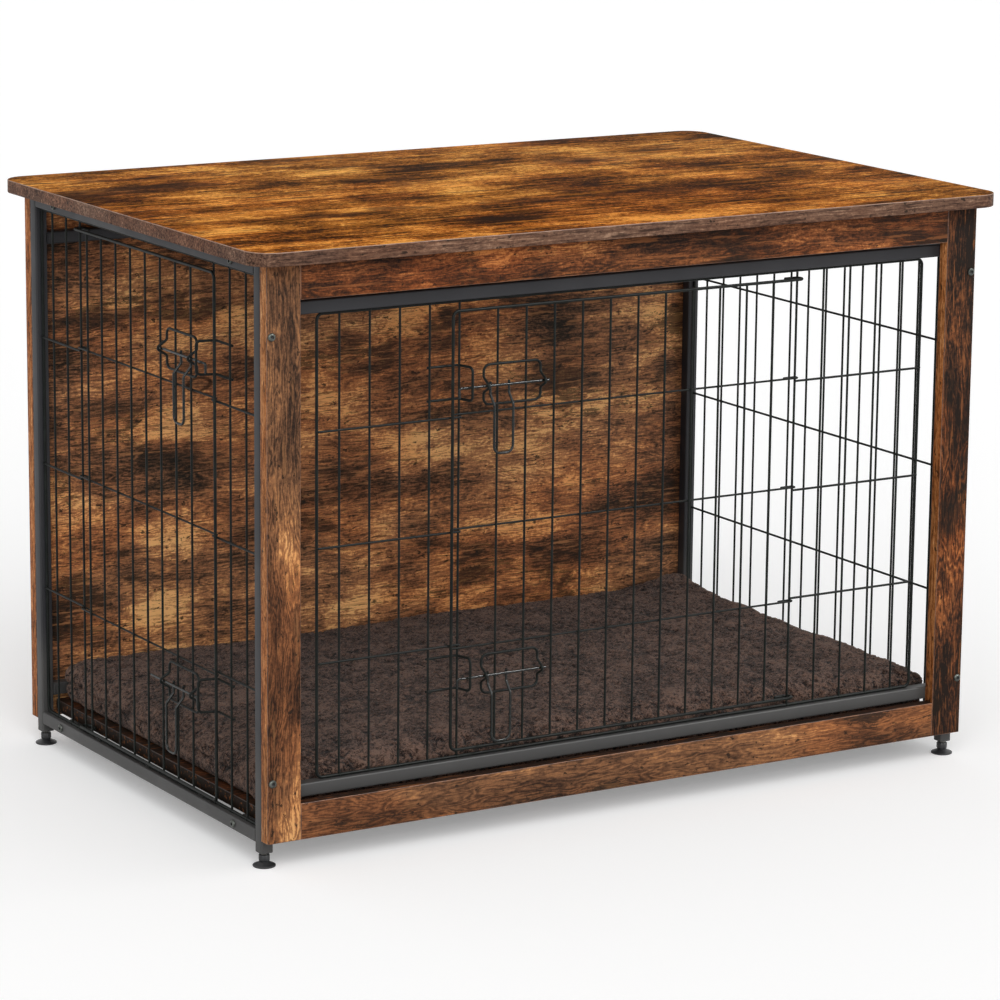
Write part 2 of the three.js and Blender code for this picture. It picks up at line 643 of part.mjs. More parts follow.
function cornerPost(name, side, front) {
  const [x0, x1] = side < 0 ? [-bodyX, -innerX] : [innerX, bodyX];
  const [y0, y1] = front ? [frameFront, innerFront] : [innerBack, frameBack];
  const outer = solid(box([x0, y0, POST_ABOVE_FLOOR], [x1, y1, underTop]));
  const hollow = solid(box([x0 + TUBE_WALL, y0 + TUBE_WALL, POST_ABOVE_FLOOR + TUBE_PLUG],
    [x1 - TUBE_WALL, y1 - TUBE_WALL, underTop + CUT_OVERRUN]));
  const [x, y] = [(x0 + x1) / 2, (y0 + y1) / 2];
  const thread = solid(roundBar(new THREE.Vector3(x, y, POST_ABOVE_FLOOR - CUT_OVERRUN),
    new THREE.Vector3(x, y, POST_ABOVE_FLOOR + TUBE_PLUG + CUT_OVERRUN), FOOT_STUD_RADIUS + STUD_CLEARANCE,
    ROUND_SIDES));
  const depth = FRONT_BOARD_THICKNESS + TUBE / 2;
  const screws = front ? frontScrewHeights.map((height) => frontScrewHole(side, height, depth)) : [];
  return piece(name, steel(), geometryOf(cut(outer, [hollow, thread, ...screws])));
}

/** A side rail with a clearance hole for each crossbar's screw. */
function sideRail(name, side, bottom) {
  const [x0, x1] = side < 0 ? [-bodyX, -innerX] : [innerX, bodyX];
  const tube = squareTube([x0, innerFront, bottom], [x1, innerBack, bottom + TUBE], 1);
  const holes = crossbarYs.map((y) => screwHole(new THREE.Vector3(x0, y, bottom + TUBE / 2),
    new THREE.Vector3(x1, y, bottom + TUBE / 2)));
  return piece(name, steel(), geometryOf(cut(tube, holes)));
}

/** A crossbar between the side rails, with a threaded plug in each end. */
function crossbar(name, y, bottom) {
  const outer = solid(box([-innerX, y - TUBE / 2, bottom], [innerX, y + TUBE / 2, bottom + TUBE]));
  const hollow = solid(box([-innerX + TUBE_PLUG, y - TUBE / 2 + TUBE_WALL, bottom + TUBE_WALL],
    [innerX - TUBE_PLUG, y + TUBE / 2 - TUBE_WALL, bottom + TUBE - TUBE_WALL]));
  const thread = screwHole(new THREE.Vector3(-innerX, y, bottom + TUBE / 2),
    new THREE.Vector3(innerX, y, bottom + TUBE / 2));
  return piece(name, steel(), geometryOf(cut(outer, [hollow, thread])));
}

function crossTube(name, y0, bottom) {
  const tube = squareTube([-innerX, y0, bottom], [innerX, y0 + TUBE, bottom + TUBE], 0);
  return piece(name, steel(), geometryOf(tube));
}

function steelFrame() {
  const group = new THREE.Group();
  [['left', -1], ['right', 1]].forEach(([name, side]) => {
    group.add(cornerPost(`${name}_front_post`, side, true));
    group.add(cornerPost(`${name}_back_post`, side, false));
    group.add(sideRail(`${name}_bottom_rail`, side, SIDE_RAIL_ABOVE_FLOOR));
    group.add(sideRail(`${name}_top_rail`, side, upperRailBottom));
  });
  group.add(crossTube('front_lower_tube', frameFront, FRONT_LOWER_TUBE_ABOVE_FLOOR));
  group.add(crossTube('front_upper_tube', frameFront, frontUpperTube));
  group.add(crossTube('back_lower_tube', innerBack, BACK_LOWER_TUBE_ABOVE_FLOOR));
  group.add(crossTube('back_upper_tube', innerBack, backUpperTube));
  [['front', crossbarYs[0]], ['back', crossbarYs[1]]].forEach(([name, y]) => {
    group.add(crossbar(`${name}_floor_crossbar`, y, SIDE_RAIL_ABOVE_FLOOR));
    group.add(crossbar(`${name}_roof_crossbar`, y, upperRailBottom));
  });
  return group;
}

// ---------------------------------------------------------------------------- feet and screws

/** A solid of revolution about Z from (radius, height) pairs that start and end on the axis. */
function turned(profile, sides) {
  const geometry = new THREE.LatheGeometry(profile.map(([r, h]) => new THREE.Vector2(r, h)), sides);
  geometry.rotateX(Math.PI / 2);
  return solid(geometry);
}

function levellingFeet() {
  const group = new THREE.Group();
  const places = { left_front: [-1, frontTubeY], right_front: [1, frontTubeY],
    left_back: [-1, frameBack - TUBE / 2], right_back: [1, frameBack - TUBE / 2] };
  Object.entries(places).forEach(([name, [side, y]]) => {
    const foot = turned([
      [0, 0],
      [FOOT_RADIUS, 0],
      [FOOT_RADIUS, FOOT_RIM],
      [FOOT_HUB_RADIUS, FOOT_CONE_HEIGHT],
      [FOOT_HUB_RADIUS, FOOT_HUB_HEIGHT],
      [FOOT_STUD_RADIUS, FOOT_HUB_HEIGHT],
      [FOOT_STUD_RADIUS, POST_ABOVE_FLOOR + FOOT_STUD_IN_POST],
      [0, POST_ABOVE_FLOOR + FOOT_STUD_IN_POST],
    ], ROUND_SIDES);
    const mesh = new THREE.Mesh(geometryOf(foot), blackPlastic());
    mesh.name = `${name}_foot`;
    mesh.position.set(side * tubeX, y, 0);
    group.add(mesh);
  });
  return group;
}

/** A button-head screw whose head rests on z = 0 and whose shank points down. */
function screwGeometry(headRadius, length) {
  const body = turned([
    [0, -length],
    [SCREW_RADIUS, -length],
    [SCREW_RADIUS, 0],
    [headRadius, 0],
    [headRadius - SCREW_HEAD_BEVEL, SCREW_HEAD_HEIGHT],
    [0, SCREW_HEAD_HEIGHT],
  ], SCREW_SIDES);
  const socket = roundBar(new THREE.Vector3(0, 0, SCREW_HEAD_HEIGHT - SCREW_SOCKET_DEPTH),
    new THREE.Vector3(0, 0, SCREW_HEAD_HEIGHT + CUT_OVERRUN), SCREW_SOCKET_RADIUS, 6);
  return geometryOf(body.subtract(solid(socket)));
}

function screw(name, headRadius, length, place, outward) {
  const mesh = new THREE.Mesh(screwGeometry(headRadius, length), screwSteel());
  mesh.name = name;
  mesh.position.copy(place);
  mesh.quaternion.setFromUnitVectors(new THREE.Vector3(0, 0, 1), outward);
  return mesh;
}

function screws() {
  const group = new THREE.Group();
  const front = new THREE.Vector3(0, -1, 0);
  [['left', -1], ['right', 1]].forEach(([name, side]) => {
    [['lower', frontScrewHeights[0]], ['upper', frontScrewHeights[1]]].forEach(([level, height]) => {
      const place = new THREE.Vector3(side * frontScrewX, -bodyY, height);
      group.add(screw(`front_${name}_${level}_screw`, LARGE_HEAD_RADIUS, FRONT_SCREW_LENGTH, place, front));
    });
    const outward = new THREE.Vector3(side, 0, 0);
    [['front', crossbarYs[0]], ['back', crossbarYs[1]]].forEach(([end, y]) => {
      const low = new THREE.Vector3(side * bodyX, y, SIDE_RAIL_ABOVE_FLOOR + TUBE / 2);
      const high = new THREE.Vector3(side * bodyX, y, upperRailBottom + TUBE / 2);
      group.add(screw(`${name}_${end}_floor_screw`, LARGE_HEAD_RADIUS, SIDE_SCREW_LENGTH, low, outward));
      group.add(screw(`${name}_${end}_roof_screw`, SMALL_HEAD_RADIUS, SIDE_SCREW_LENGTH, high, outward));
    });
  });
  return group;
}

// ---------------------------------------------------------------------------- cushion

function cushion() {
  const x = innerX - CUSHION_SIDE_GAP - CUSHION_EDGE;
  const [front, back] = [innerFront + CUSHION_END_GAP + CUSHION_EDGE, innerBack - CUSHION_END_GAP - CUSHION_EDGE];
  const r = CUSHION_CORNER_RADIUS - CUSHION_EDGE;
  const outline = new THREE.Shape();
  outline.absarc(x - r, back - r, r, 0, Math.PI / 2);
  outline.absarc(-x + r, back - r, r, Math.PI / 2, Math.PI);
  outline.absarc(-x + r, front + r, r, Math.PI, 1.5 * Math.PI);
  outline.absarc(x - r, front + r, r, 1.5 * Math.PI, 2 * Math.PI);
  const geometry = new THREE.ExtrudeGeometry(outline, {
    depth: CUSHION_THICKNESS - 2 * CUSHION_EDGE,
    bevelThickness: CUSHION_EDGE,
    bevelSize: CUSHION_EDGE,
    bevelSegments: CUSHION_SEGMENTS,
    curveSegments: CORNER_SEGMENTS,
  });
  geometry.translate(0, 0, floorBoardTop + CUSHION_EDGE + SEAT);
  return piece('cushion', plush(), geometryOf(solid(geometry)));
}

// ---------------------------------------------------------------------------- the crate
const crate = new THREE.Group();
crate.add(topBoard(), boards(), steelFrame(), frontWall(), leftWall(), rightWall());
crate.add(levellingFeet(), screws(), cushion());

export default crate;
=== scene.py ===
"""The looks of a dog crate that doubles as a side table.

A welded steel frame carries rustic laminate boards on the top, front and back, wire walls on the other
sides, two wire doors with slide bolts, levelling feet and a curly plush cushion. Every length is in
metres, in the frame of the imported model: X to the right, Y to the back, Z up, with the floor at zero.
"""

import json
import logging
import math
from dataclasses import dataclass, field
from enum import Enum
from typing import Any, Callable, Iterable, Sequence

import bmesh
import bpy
from mathutils import Matrix, Vector, noise


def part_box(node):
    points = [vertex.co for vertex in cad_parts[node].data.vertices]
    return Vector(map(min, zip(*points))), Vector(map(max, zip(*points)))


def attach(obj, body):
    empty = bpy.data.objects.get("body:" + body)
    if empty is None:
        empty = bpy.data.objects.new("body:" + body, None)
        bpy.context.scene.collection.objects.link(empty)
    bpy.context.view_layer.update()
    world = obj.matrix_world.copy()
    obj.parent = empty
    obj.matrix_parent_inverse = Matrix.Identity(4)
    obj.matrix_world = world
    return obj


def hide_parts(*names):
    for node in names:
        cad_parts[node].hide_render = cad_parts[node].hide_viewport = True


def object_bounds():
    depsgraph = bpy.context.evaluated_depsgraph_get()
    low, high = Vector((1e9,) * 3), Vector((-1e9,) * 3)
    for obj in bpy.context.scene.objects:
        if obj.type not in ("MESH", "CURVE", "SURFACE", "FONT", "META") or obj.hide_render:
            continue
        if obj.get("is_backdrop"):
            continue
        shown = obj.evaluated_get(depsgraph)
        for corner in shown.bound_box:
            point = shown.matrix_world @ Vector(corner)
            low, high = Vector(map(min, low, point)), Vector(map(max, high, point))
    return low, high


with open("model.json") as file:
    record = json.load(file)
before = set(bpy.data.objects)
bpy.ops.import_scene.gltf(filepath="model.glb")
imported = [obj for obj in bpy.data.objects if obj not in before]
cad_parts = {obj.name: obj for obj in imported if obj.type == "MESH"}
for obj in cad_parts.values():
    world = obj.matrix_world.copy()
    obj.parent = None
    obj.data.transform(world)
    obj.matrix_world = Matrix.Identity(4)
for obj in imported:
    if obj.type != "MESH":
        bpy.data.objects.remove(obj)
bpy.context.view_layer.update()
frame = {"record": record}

log = logging.getLogger("crate")

Colour = tuple[int, int, int]
Point = tuple[float, float, float]
Socket = bpy.types.NodeSocket


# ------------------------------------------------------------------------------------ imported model


class Parts:
    """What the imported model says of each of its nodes."""

    def __init__(self, record: dict[str, Any]) -> None:
        """Reads the bodies and slots.

        Args:
            record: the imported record.
        """
        self.body = {node: body for body, nodes in record["behaviour"]["bodies"].items() for node in nodes}
        self.slot = {part["node"]: part["material_slot"] for part in record["subparts"]}

    def stand_in(self, piece: bpy.types.Object, node: str) -> None:
        """Lets a finished piece stand for a node and move with the node's body.

        Args:
            piece: the finished piece, in place.
            node: the node that it replaces.
        """
        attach(piece, self.body[node])
        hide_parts(node)
        log.info("%s: %d faces, on body %s", piece.name, len(piece.data.polygons), self.body[node])


# ------------------------------------------------------------------------------------ node graphs


def linear(colour: Colour) -> tuple[float, float, float, float]:
    """Turns a display colour into a shader colour.

    Args:
        colour: red, green and blue from 0 to 255.

    Returns:
        The scene-linear red, green and blue, and an alpha of 1.
    """
    shares = [channel / 255 for channel in colour]
    curve = [s / 12.92 if s <= 0.04045 else ((s + 0.055) / 1.055) ** 2.4 for s in shares]
    return (curve[0], curve[1], curve[2], 1.0)


class Graph:
    """The nodes of one material, with a method for each kind of node that the finishes use."""

    def __init__(self, name: str) -> None:
        """Starts a material with a principled shader.

        Args:
            name: the material's name.
        """
        self.material = bpy.data.materials.new(name)
        self.material.use_nodes = True
        self.tree = self.material.node_tree
        self.tree.nodes.clear()
        output = self.tree.nodes.new("ShaderNodeOutputMaterial")
        self.shader = self.tree.nodes.new("ShaderNodeBsdfPrincipled")
        self.tree.links.new(self.shader.outputs["BSDF"], output.inputs["Surface"])

    def feed(self, socket: Socket, value: Any) -> None:
        """Links a socket to another, or sets its value.

        Args:
            socket: the input to feed.
            value: an output socket, a number or a tuple.
        """
        if isinstance(value, bpy.types.NodeSocket):
            self.tree.links.new(value, socket)
        else:
            socket.default_value = value

    def node(self, kind: str, inputs: dict[Any, Any], **settings: Any) -> bpy.types.Node:
        """Adds a node.

        Args:
            kind: the node's type.
            inputs: what feeds each input, by name or number.
            settings: the node's own settings.

        Returns:
            The node.
        """
        node = self.tree.nodes.new(kind)
        for key, value in settings.items():
            setattr(node, key, value)
        for key, value in inputs.items():
            self.feed(node.inputs[key], value)
        return node

    def place(self) -> Socket:
        """The point on the piece, in metres."""
        return self.node("ShaderNodeTexCoord", {}).outputs["Object"]

    def height(self, vector: Socket) -> Socket:
        """How high a point lies."""
        return self.node("ShaderNodeSeparateXYZ", {0: vector}).outputs["Z"]

    def turn(self, vector: Socket, angles: Point, shift: Point) -> Socket:
        """Turns and shifts a point.

        Args:
            vector: the point.
            angles: the turn about each axis, in radians.
            shift: the shift after the turn.

        Returns:
            The new point.
        """
        inputs = {"Vector": vector, "Rotation": angles, "Location": shift}
        return self.node("ShaderNodeMapping", inputs).outputs[0]

    def stretch(self, vector: Socket, scale: Point) -> Socket:
        """The point multiplied by a scale on each axis."""
        return self.node("ShaderNodeVectorMath", {0: vector, 1: scale}, operation="MULTIPLY").outputs[0]

    def drift(self, vector: Socket, scale: float, reach: Point) -> Socket:
        """Moves a point by a slow random drift.

        Args:
            vector: the point.
            scale: how many drifts there are to a metre.
            reach: how far the drift goes on each axis.

        Returns:
            The moved point.
        """
        inputs = {"Vector": vector, "Scale": scale, "Detail": 3.0}
        colour = self.node("ShaderNodeTexNoise", inputs).outputs["Color"]
        middle = {0: colour, 1: (0.5, 0.5, 0.5)}
        centred = self.node("ShaderNodeVectorMath", middle, operation="SUBTRACT").outputs[0]
        inputs = {0: centred, 1: reach, 2: vector}
        return self.node("ShaderNodeVectorMath", inputs, operation="MULTIPLY_ADD").outputs[0]

    def noise(self, vector: Socket, detail: float, rough: float = 0.55, twist: float = 0.0) -> Socket:
        """Cloudy noise about one unit across.

        Args:
            vector: the point, already scaled.
            detail: how many finer layers it has.
            rough: how strong the finer layers are.
            twist: how far the pattern is swirled.

        Returns:
            The noise, from 0 to 1.
        """
        inputs = {"Vector": vector, "Scale": 1.0, "Detail": detail, "Roughness": rough, "Distortion": twist}
        return self.node("ShaderNodeTexNoise", inputs).outputs["Fac"]

    def cells(self, vector: Socket, output: str, spread: float = 1.0) -> Socket:
        """Random cells about one unit across.

        Args:
            vector: the point, already scaled.
            output: "Distance" to the cell's centre, or the cell's "Color".
            spread: how far the centres stray from a grid.

        Returns:
            The distance or the colour.
        """
        inputs = {"Vector": vector, "Scale": 1.0, "Randomness": spread}
        return self.node("ShaderNodeTexVoronoi", inputs).outputs[output]

    def sum(self, terms: Iterable[tuple[Socket, float]], start: float) -> Socket:
        """Adds weighted noises, each about its middle value.

        Args:
            terms: each noise with its weight.
            start: the value where every noise is at its middle.

        Returns:
            The sum.
        """
        total: Any = start - sum(weight for _, weight in terms) / 2
        for socket, weight in terms:
            inputs = {0: socket, 1: weight, 2: total}
            total = self.node("ShaderNodeMath", inputs, operation="MULTIPLY_ADD").outputs[0]
        return total

    def waves(self, value: Socket, count: float) -> Socket:
        """Turns a value into waves.

        Args:
            value: the value.
            count: how many waves there are where the value goes from 0 to 1.

        Returns:
            The waves, from 0 to 1.
        """
        angle = self.times(value, 2 * math.pi * count)
        sine = self.node("ShaderNodeMath", {0: angle}, operation="SINE").outputs[0]
        inputs = {0: sine, 1: 0.5, 2: 0.5}
        return self.node("ShaderNodeMath", inputs, operation="MULTIPLY_ADD").outputs[0]

    def times(self, first: Any, second: Any) -> Socket:
        """The product of two values."""
        return self.node("ShaderNodeMath", {0: first, 1: second}, operation="MULTIPLY").outputs[0]

    def step(self, value: Socket, low: float, high: float, start: float = 0.0, end: float = 1.0) -> Socket:
        """Eases a value from one level to another.

        Args:
            value: the value to judge.
            low: where the first level ends.
            high: where the second level begins.
            start: the first level.
            end: the second level.

        Returns:
            The eased level.
        """
        inputs = {"Value": value, "From Min": low, "From Max": high, "To Min": start, "To Max": end}
        return self.node("ShaderNodeMapRange", inputs, interpolation_type="SMOOTHSTEP").outputs[0]

    def ramp(self, value: Socket, stops: Sequence[tuple[float, Colour]]) -> Socket:
        """Turns a value into a colour.

        Args:
            value: the value, from 0 to 1.
            stops: where each display colour lies.

        Returns:
            The colour.
        """
        node = self.node("ShaderNodeValToRGB", {"Fac": value})
        elements = node.color_ramp.elements
        while len(elements) < len(stops):
            elements.new(0.5)
        for element, (position, colour) in zip(elements, stops):
            element.position = position
            element.color = linear(colour)
        return node.outputs["Color"]

    def mix(self, share: Any, first: Any, second: Any, blend: str = "MIX") -> Socket:
        """Mixes two colours.

        Args:
            share: how much of the second there is.
            first: the first colour.
            second: the second colour.
            blend: the way they mix.

        Returns:
            The mixed colour.
        """
        inputs = {0: share, 6: first, 7: second}
        return self.node("ShaderNodeMix", inputs, data_type="RGBA", blend_type=blend).outputs[2]

    def bump(self, height: Socket, distance: float, strength: float = 1.0, over: Any = None) -> Socket:
        """Bends the surface by a height.

        Args:
            height: the height, from 0 to 1.
            distance: how high 1 is, in metres.
            strength: how much of it shows.
            over: another bump that lies below.

        Returns:
            The normal.
        """
        inputs = {"Height": height, "Distance": distance, "Strength": strength}
        if over is not None:
            inputs["Normal"] = over
        return self.node("ShaderNodeBump", inputs).outputs[0]

    def done(self, **inputs: Any) -> bpy.types.Material:
        """Feeds the shader.

        Args:
            inputs: the shader's inputs, with spaces written as underscores.

        Returns:
            The material.
        """
        for key, value in inputs.items():
            self.feed(self.shader.inputs[key.replace("_", " ")], value)
        return self.material


# ------------------------------------------------------------------------------------ finishes


class Grain(Enum):
    """The way the grain runs, as the turn that lays it along X."""

    ALONG_X = (0.0, 0.0, 0.0)
    ALONG_Y = (0.0, 0.0, -math.pi / 2)
    ALONG_Z = (0.0, math.pi / 2, 0.0)


class Palette(Enum):
    """The colours of a laminate from its darkest to its lightest streaks."""

    AMBER = (
        (0.00, (38, 21, 7)),
        (0.26, (88, 50, 14)),
        (0.46, (126, 74, 22)),
        (0.60, (152, 91, 28)),
        (0.80, (188, 117, 39)),
        (1.00, (236, 172, 82)),
    )
    RUSSET = (
        (0.00, (30, 22, 17)),
        (0.26, (64, 40, 27)),
        (0.46, (92, 55, 33)),
        (0.60, (114, 68, 40)),
        (0.80, (146, 90, 52)),
        (1.00, (196, 134, 78)),
    )
    HAZEL = (
        (0.00, (38, 27, 20)),
        (0.26, (78, 53, 37)),
        (0.46, (108, 74, 50)),
        (0.60, (128, 88, 59)),
        (0.80, (160, 112, 72)),
        (1.00, (212, 160, 104)),
    )
    UMBER = (
        (0.00, (34, 30, 25)),
        (0.26, (77, 57, 43)),
        (0.46, (118, 82, 59)),
        (0.60, (146, 100, 70)),
        (0.80, (180, 125, 82)),
        (1.00, (234, 180, 118)),
    )
    TAN = (
        (0.02, (70, 40, 20)),
        (0.30, (124, 77, 42)),
        (0.55, (160, 104, 60)),
        (0.80, (186, 130, 82)),
        (0.98, (216, 166, 116)),
    )
    TAUPE = (
        (0.02, (42, 29, 23)),
        (0.26, (76, 54, 43)),
        (0.50, (96, 70, 56)),
        (0.74, (114, 86, 69)),
        (0.98, (150, 119, 97)),
    )


@dataclass(frozen=True)
class Laminate:
    """Rustic printed laminate, with blotches, combed fibres, wavy rings, specks and a few knots."""

    name: str
    palette: Palette
    grain: Grain
    place: float = 0.0
    patches: float = 2.5
    patch_scale: tuple[float, float] = (5.5, 12.5)
    fibres: float = 0.9
    rings: float = 0.26
    bands: float = 1.1
    band_pitch: float = 48.0
    weave: float = 1.25
    fleck_pitch: float = 210.0
    flecks: float = 0.5
    blush: float = 0.5
    stain: float = 0.8
    stain_level: float = 0.56
    stain_colour: Colour = (30, 25, 20)
    knots: float = 0.75
    middle: float = 0.5
    gloss: float = 0.5
    shine: float = 0.08

    def material(self) -> bpy.types.Material:
        """Builds the laminate.

        Returns:
            The material.
        """
        g = Graph(self.name)
        shift = (self.place, 0.37 * self.place, 0.61 * self.place)
        flat = g.turn(g.place(), self.grain.value, shift)
        ripple = g.drift(flat, 70.0, (0.004, 0.0016, 0.0016))
        flow = g.drift(ripple, 7.0, (0.07, 0.022, 0.022))
        along, across = self.patch_scale
        patches = g.noise(g.stretch(flow, (along, across, across)), 9.0, 0.6)
        bands = g.noise(g.stretch(flow, (4.5, self.band_pitch, self.band_pitch)), 7.0, 0.64)
        strokes = g.noise(g.stretch(ripple, (22.0, 420.0, 420.0)), 4.0, 0.68)
        weave = g.noise(g.stretch(ripple, (230.0, 340.0, 340.0)), 4.0, 0.74)
        field = g.noise(g.stretch(flow, (2.8, 19.0, 19.0)), 4.0, 0.58)
        rings = g.waves(field, 30.0)
        terms = [(patches, self.patches), (bands, self.bands), (strokes, self.fibres),
                 (weave, self.weave), (rings, self.rings)]
        tone = g.sum(terms, self.middle)
        colour = g.ramp(tone, self.palette.value)
        warm = g.step(g.noise(g.stretch(flow, (2.4, 6.0, 6.0)), 5.0, 0.6), 0.42, 0.6, 0.0, self.blush)
        colour = g.mix(warm, colour, linear((255, 212, 178)), "MULTIPLY")
        ragged = g.noise(g.stretch(flow, (4.8, 12.0, 12.0)), 9.0, 0.68, 0.4)
        combed = g.sum([(ragged, 1.0), (strokes, 0.34), (weave, 0.26)], 0.5)
        stained = g.step(combed, self.stain_level, self.stain_level + 0.035, 0.0, self.stain)
        colour = g.mix(stained, colour, linear(self.stain_colour))
        colour = self.with_flecks(g, ripple, colour)
        colour = self.with_knots(g, flow, colour)
        specks = g.noise(g.stretch(ripple, (85.0, 170.0, 170.0)), 4.0, 0.62)
        dark = g.step(specks, 0.625, 0.665, 0.0, 0.85)
        colour = g.mix(dark, colour, linear(self.stain_colour))
        height = g.sum([(strokes, 0.8), (rings, 0.1), (specks, -0.4)], 0.5)
        rough = g.step(tone, 0.1, 0.9, self.gloss + 0.07, self.gloss - 0.05)
        normal = g.bump(height, 0.00025, 0.5)
        return g.done(Base_Color=colour, Roughness=rough, Normal=normal,
                      Specular_IOR_Level=self.shine)

    def with_flecks(self, g: Graph, ripple: Socket, colour: Socket) -> Socket:
        """Draws thin dark cracks and thin light flecks along the grain.

        Args:
            g: the graph.
            ripple: the point, with the grain along X.
            colour: the colour below.

        Returns:
            The colour with cracks and flecks.
        """
        pitch = self.fleck_pitch
        light = g.noise(g.stretch(ripple, (pitch * 0.075, pitch, pitch)), 4.0, 0.62)
        dark = g.noise(g.stretch(ripple, (pitch * 0.11, pitch * 1.3, pitch * 1.3)), 4.0, 0.62)
        lit = g.step(light, 0.575, 0.635, 0.0, self.flecks)
        cracked = g.step(dark, 0.57, 0.62, 0.0, self.flecks * 1.3)
        colour = g.mix(lit, colour, linear(self.palette.value[-2][1]))
        return g.mix(cracked, colour, linear(self.palette.value[0][1]))

    def with_knots(self, g: Graph, flow: Socket, colour: Socket) -> Socket:
        """Draws the knots over a colour.

        Args:
            g: the graph.
            flow: the point, with the grain along X.
            colour: the colour below.

        Returns:
            The colour with knots.
        """
        spots = g.stretch(flow, (5.2, 10.5, 10.5))
        distance = g.cells(spots, "Distance")
        pick = g.step(g.cells(spots, "Color"), self.knots, self.knots + 0.02)
        core = g.times(g.step(distance, 0.05, 0.10, 1.0, 0.0), pick)
        rim_inner = g.step(distance, 0.085, 0.10)
        rim_outer = g.step(distance, 0.11, 0.125, 1.0, 0.0)
        rim = g.times(g.times(rim_inner, rim_outer), pick)
        colour = g.mix(g.times(core, 0.55), colour, linear(self.stain_colour))
        return g.mix(g.times(rim, 0.8), colour, linear((30, 21, 14)))


@dataclass(frozen=True)
class Arris:
    """The scuffed light corner where a laminate face meets its edge."""

    name: str
    colour: Colour
    scuff: Colour

    def material(self) -> bpy.types.Material:
        """Builds the worn corner."""
        g = Graph(self.name)
        here = g.place()
        worn = g.step(g.noise(g.stretch(here, (60.0, 60.0, 60.0)), 5.0, 0.7), 0.42, 0.6)
        fine = g.noise(g.stretch(here, (700.0, 700.0, 700.0)), 2.0)
        colour = g.mix(worn, linear(self.colour), linear(self.scuff))
        return g.done(Base_Color=colour, Roughness=g.step(fine, 0.3, 0.7, 0.42, 0.6),
                      Normal=g.bump(fine, 0.00005, 0.4))


@dataclass(frozen=True)
class PowderCoat:
    """Satin charcoal powder coat on steel, with its fine orange-peel texture and painted light near the
    floor.
    """

    name: str = "powder_coat"
    colour: Colour = (38, 38, 41)
    rubbed: Colour = (58, 58, 61)
    # Painted light: the lighter colour that the coat takes near the floor, standing in for light bounced up
    # from it.
    dust_and_floor_bounce: Colour = (74, 73, 71)
    floor_bounce_top: float = 0.16
    floor_bounce_full: float = 0.09

    def material(self) -> bpy.types.Material:
        """Builds the coat."""
        g = Graph(self.name)
        here = g.place()
        cloud = g.step(g.noise(g.stretch(here, (7.0, 7.0, 7.0)), 6.0, 0.6), 0.35, 0.75)
        specks = g.step(g.noise(g.stretch(here, (420.0, 420.0, 420.0)), 3.0, 0.6), 0.62, 0.74)
        peel = g.noise(g.stretch(here, (900.0, 900.0, 900.0)), 2.0, 0.6)
        colour = g.mix(g.times(cloud, 0.35), linear(self.colour), linear(self.rubbed))
        colour = g.mix(g.times(specks, 0.25), colour, linear(self.rubbed))
        # Painted light: the coat is lighter near the floor and fades out about 16 cm up, standing in for the
        # floor's bounced light.
        dust_and_floor_bounce_share = g.step(g.height(here), self.floor_bounce_full, self.floor_bounce_top, 0.75, 0.0)
        colour = g.mix(g.times(dust_and_floor_bounce_share, g.step(cloud, 0.0, 1.0, 0.8, 1.0)), colour, linear(self.dust_and_floor_bounce))
        return g.done(Base_Color=colour, Roughness=g.step(cloud, 0.0, 1.0, 0.5, 0.4),
                      Normal=g.bump(peel, 0.00008, 0.5), Specular_IOR_Level=0.28)


@dataclass(frozen=True)
class WireCoat:
    """Smooth black coating on bent wire, a little thicker in places."""

    name: str
    roughness: float
    shine: float
    colour: Colour = (18, 21, 19)
    thin: Colour = (36, 40, 37)

    def material(self) -> bpy.types.Material:
        """Builds the coating."""
        g = Graph(self.name)
        here = g.place()
        runs = g.noise(g.stretch(here, (90.0, 90.0, 90.0)), 4.0, 0.65)
        peel = g.noise(g.stretch(here, (1400.0, 1400.0, 1400.0)), 2.0)
        colour = g.mix(g.step(runs, 0.45, 0.7, 0.0, 0.5), linear(self.colour), linear(self.thin))
        rough = g.step(runs, 0.3, 0.7, self.roughness, self.roughness + 0.12)
        normal = g.bump(peel, 0.00004, 0.4, g.bump(runs, 0.0003, 0.3))
        return g.done(Base_Color=colour, Roughness=rough, Normal=normal,
                      Specular_IOR_Level=self.shine)


@dataclass(frozen=True)
class TurnedSteel:
    """Plated steel, brushed in fine rings and a little dulled."""

    name: str
    colour: Colour
    dull: Colour

    def material(self) -> bpy.types.Material:
        """Builds the plating."""
        g = Graph(self.name)
        here = g.place()
        rings = g.noise(g.stretch(here, (900.0, 300.0, 900.0)), 3.0, 0.6)
        tarnish = g.step(g.noise(g.stretch(here, (160.0, 160.0, 160.0)), 5.0, 0.65), 0.4, 0.7)
        colour = g.mix(tarnish, linear(self.colour), linear(self.dull))
        return g.done(Base_Color=colour, Metallic=0.85, Roughness=g.step(tarnish, 0.0, 1.0, 0.3, 0.5),
                      Normal=g.bump(rings, 0.00005, 0.5))


@dataclass(frozen=True)
class MouldedPlastic:
    """Black moulded plastic with a fine spark texture and dust in its hollows."""

    name: str = "moulded_plastic"
    colour: Colour = (30, 30, 32)
    dust_and_floor_bounce: Colour = (62, 60, 58)

    def material(self) -> bpy.types.Material:
        """Builds the plastic."""
        g = Graph(self.name)
        here = g.place()
        sparks = g.noise(g.stretch(here, (1300.0, 1300.0, 1300.0)), 3.0, 0.7)
        dust_and_floor_bounce_share = g.step(g.noise(g.stretch(here, (85.0, 85.0, 85.0)), 5.0, 0.65), 0.5, 0.75)
        colour = g.mix(g.times(dust_and_floor_bounce_share, 0.5), linear(self.colour), linear(self.dust_and_floor_bounce))
        return g.done(Base_Color=colour, Roughness=g.step(dust_and_floor_bounce_share, 0.0, 1.0, 0.45, 0.7),
                      Normal=g.bump(sparks, 0.0001, 0.5))


PILE_SHADE_ATTRIBUTE = "pile"


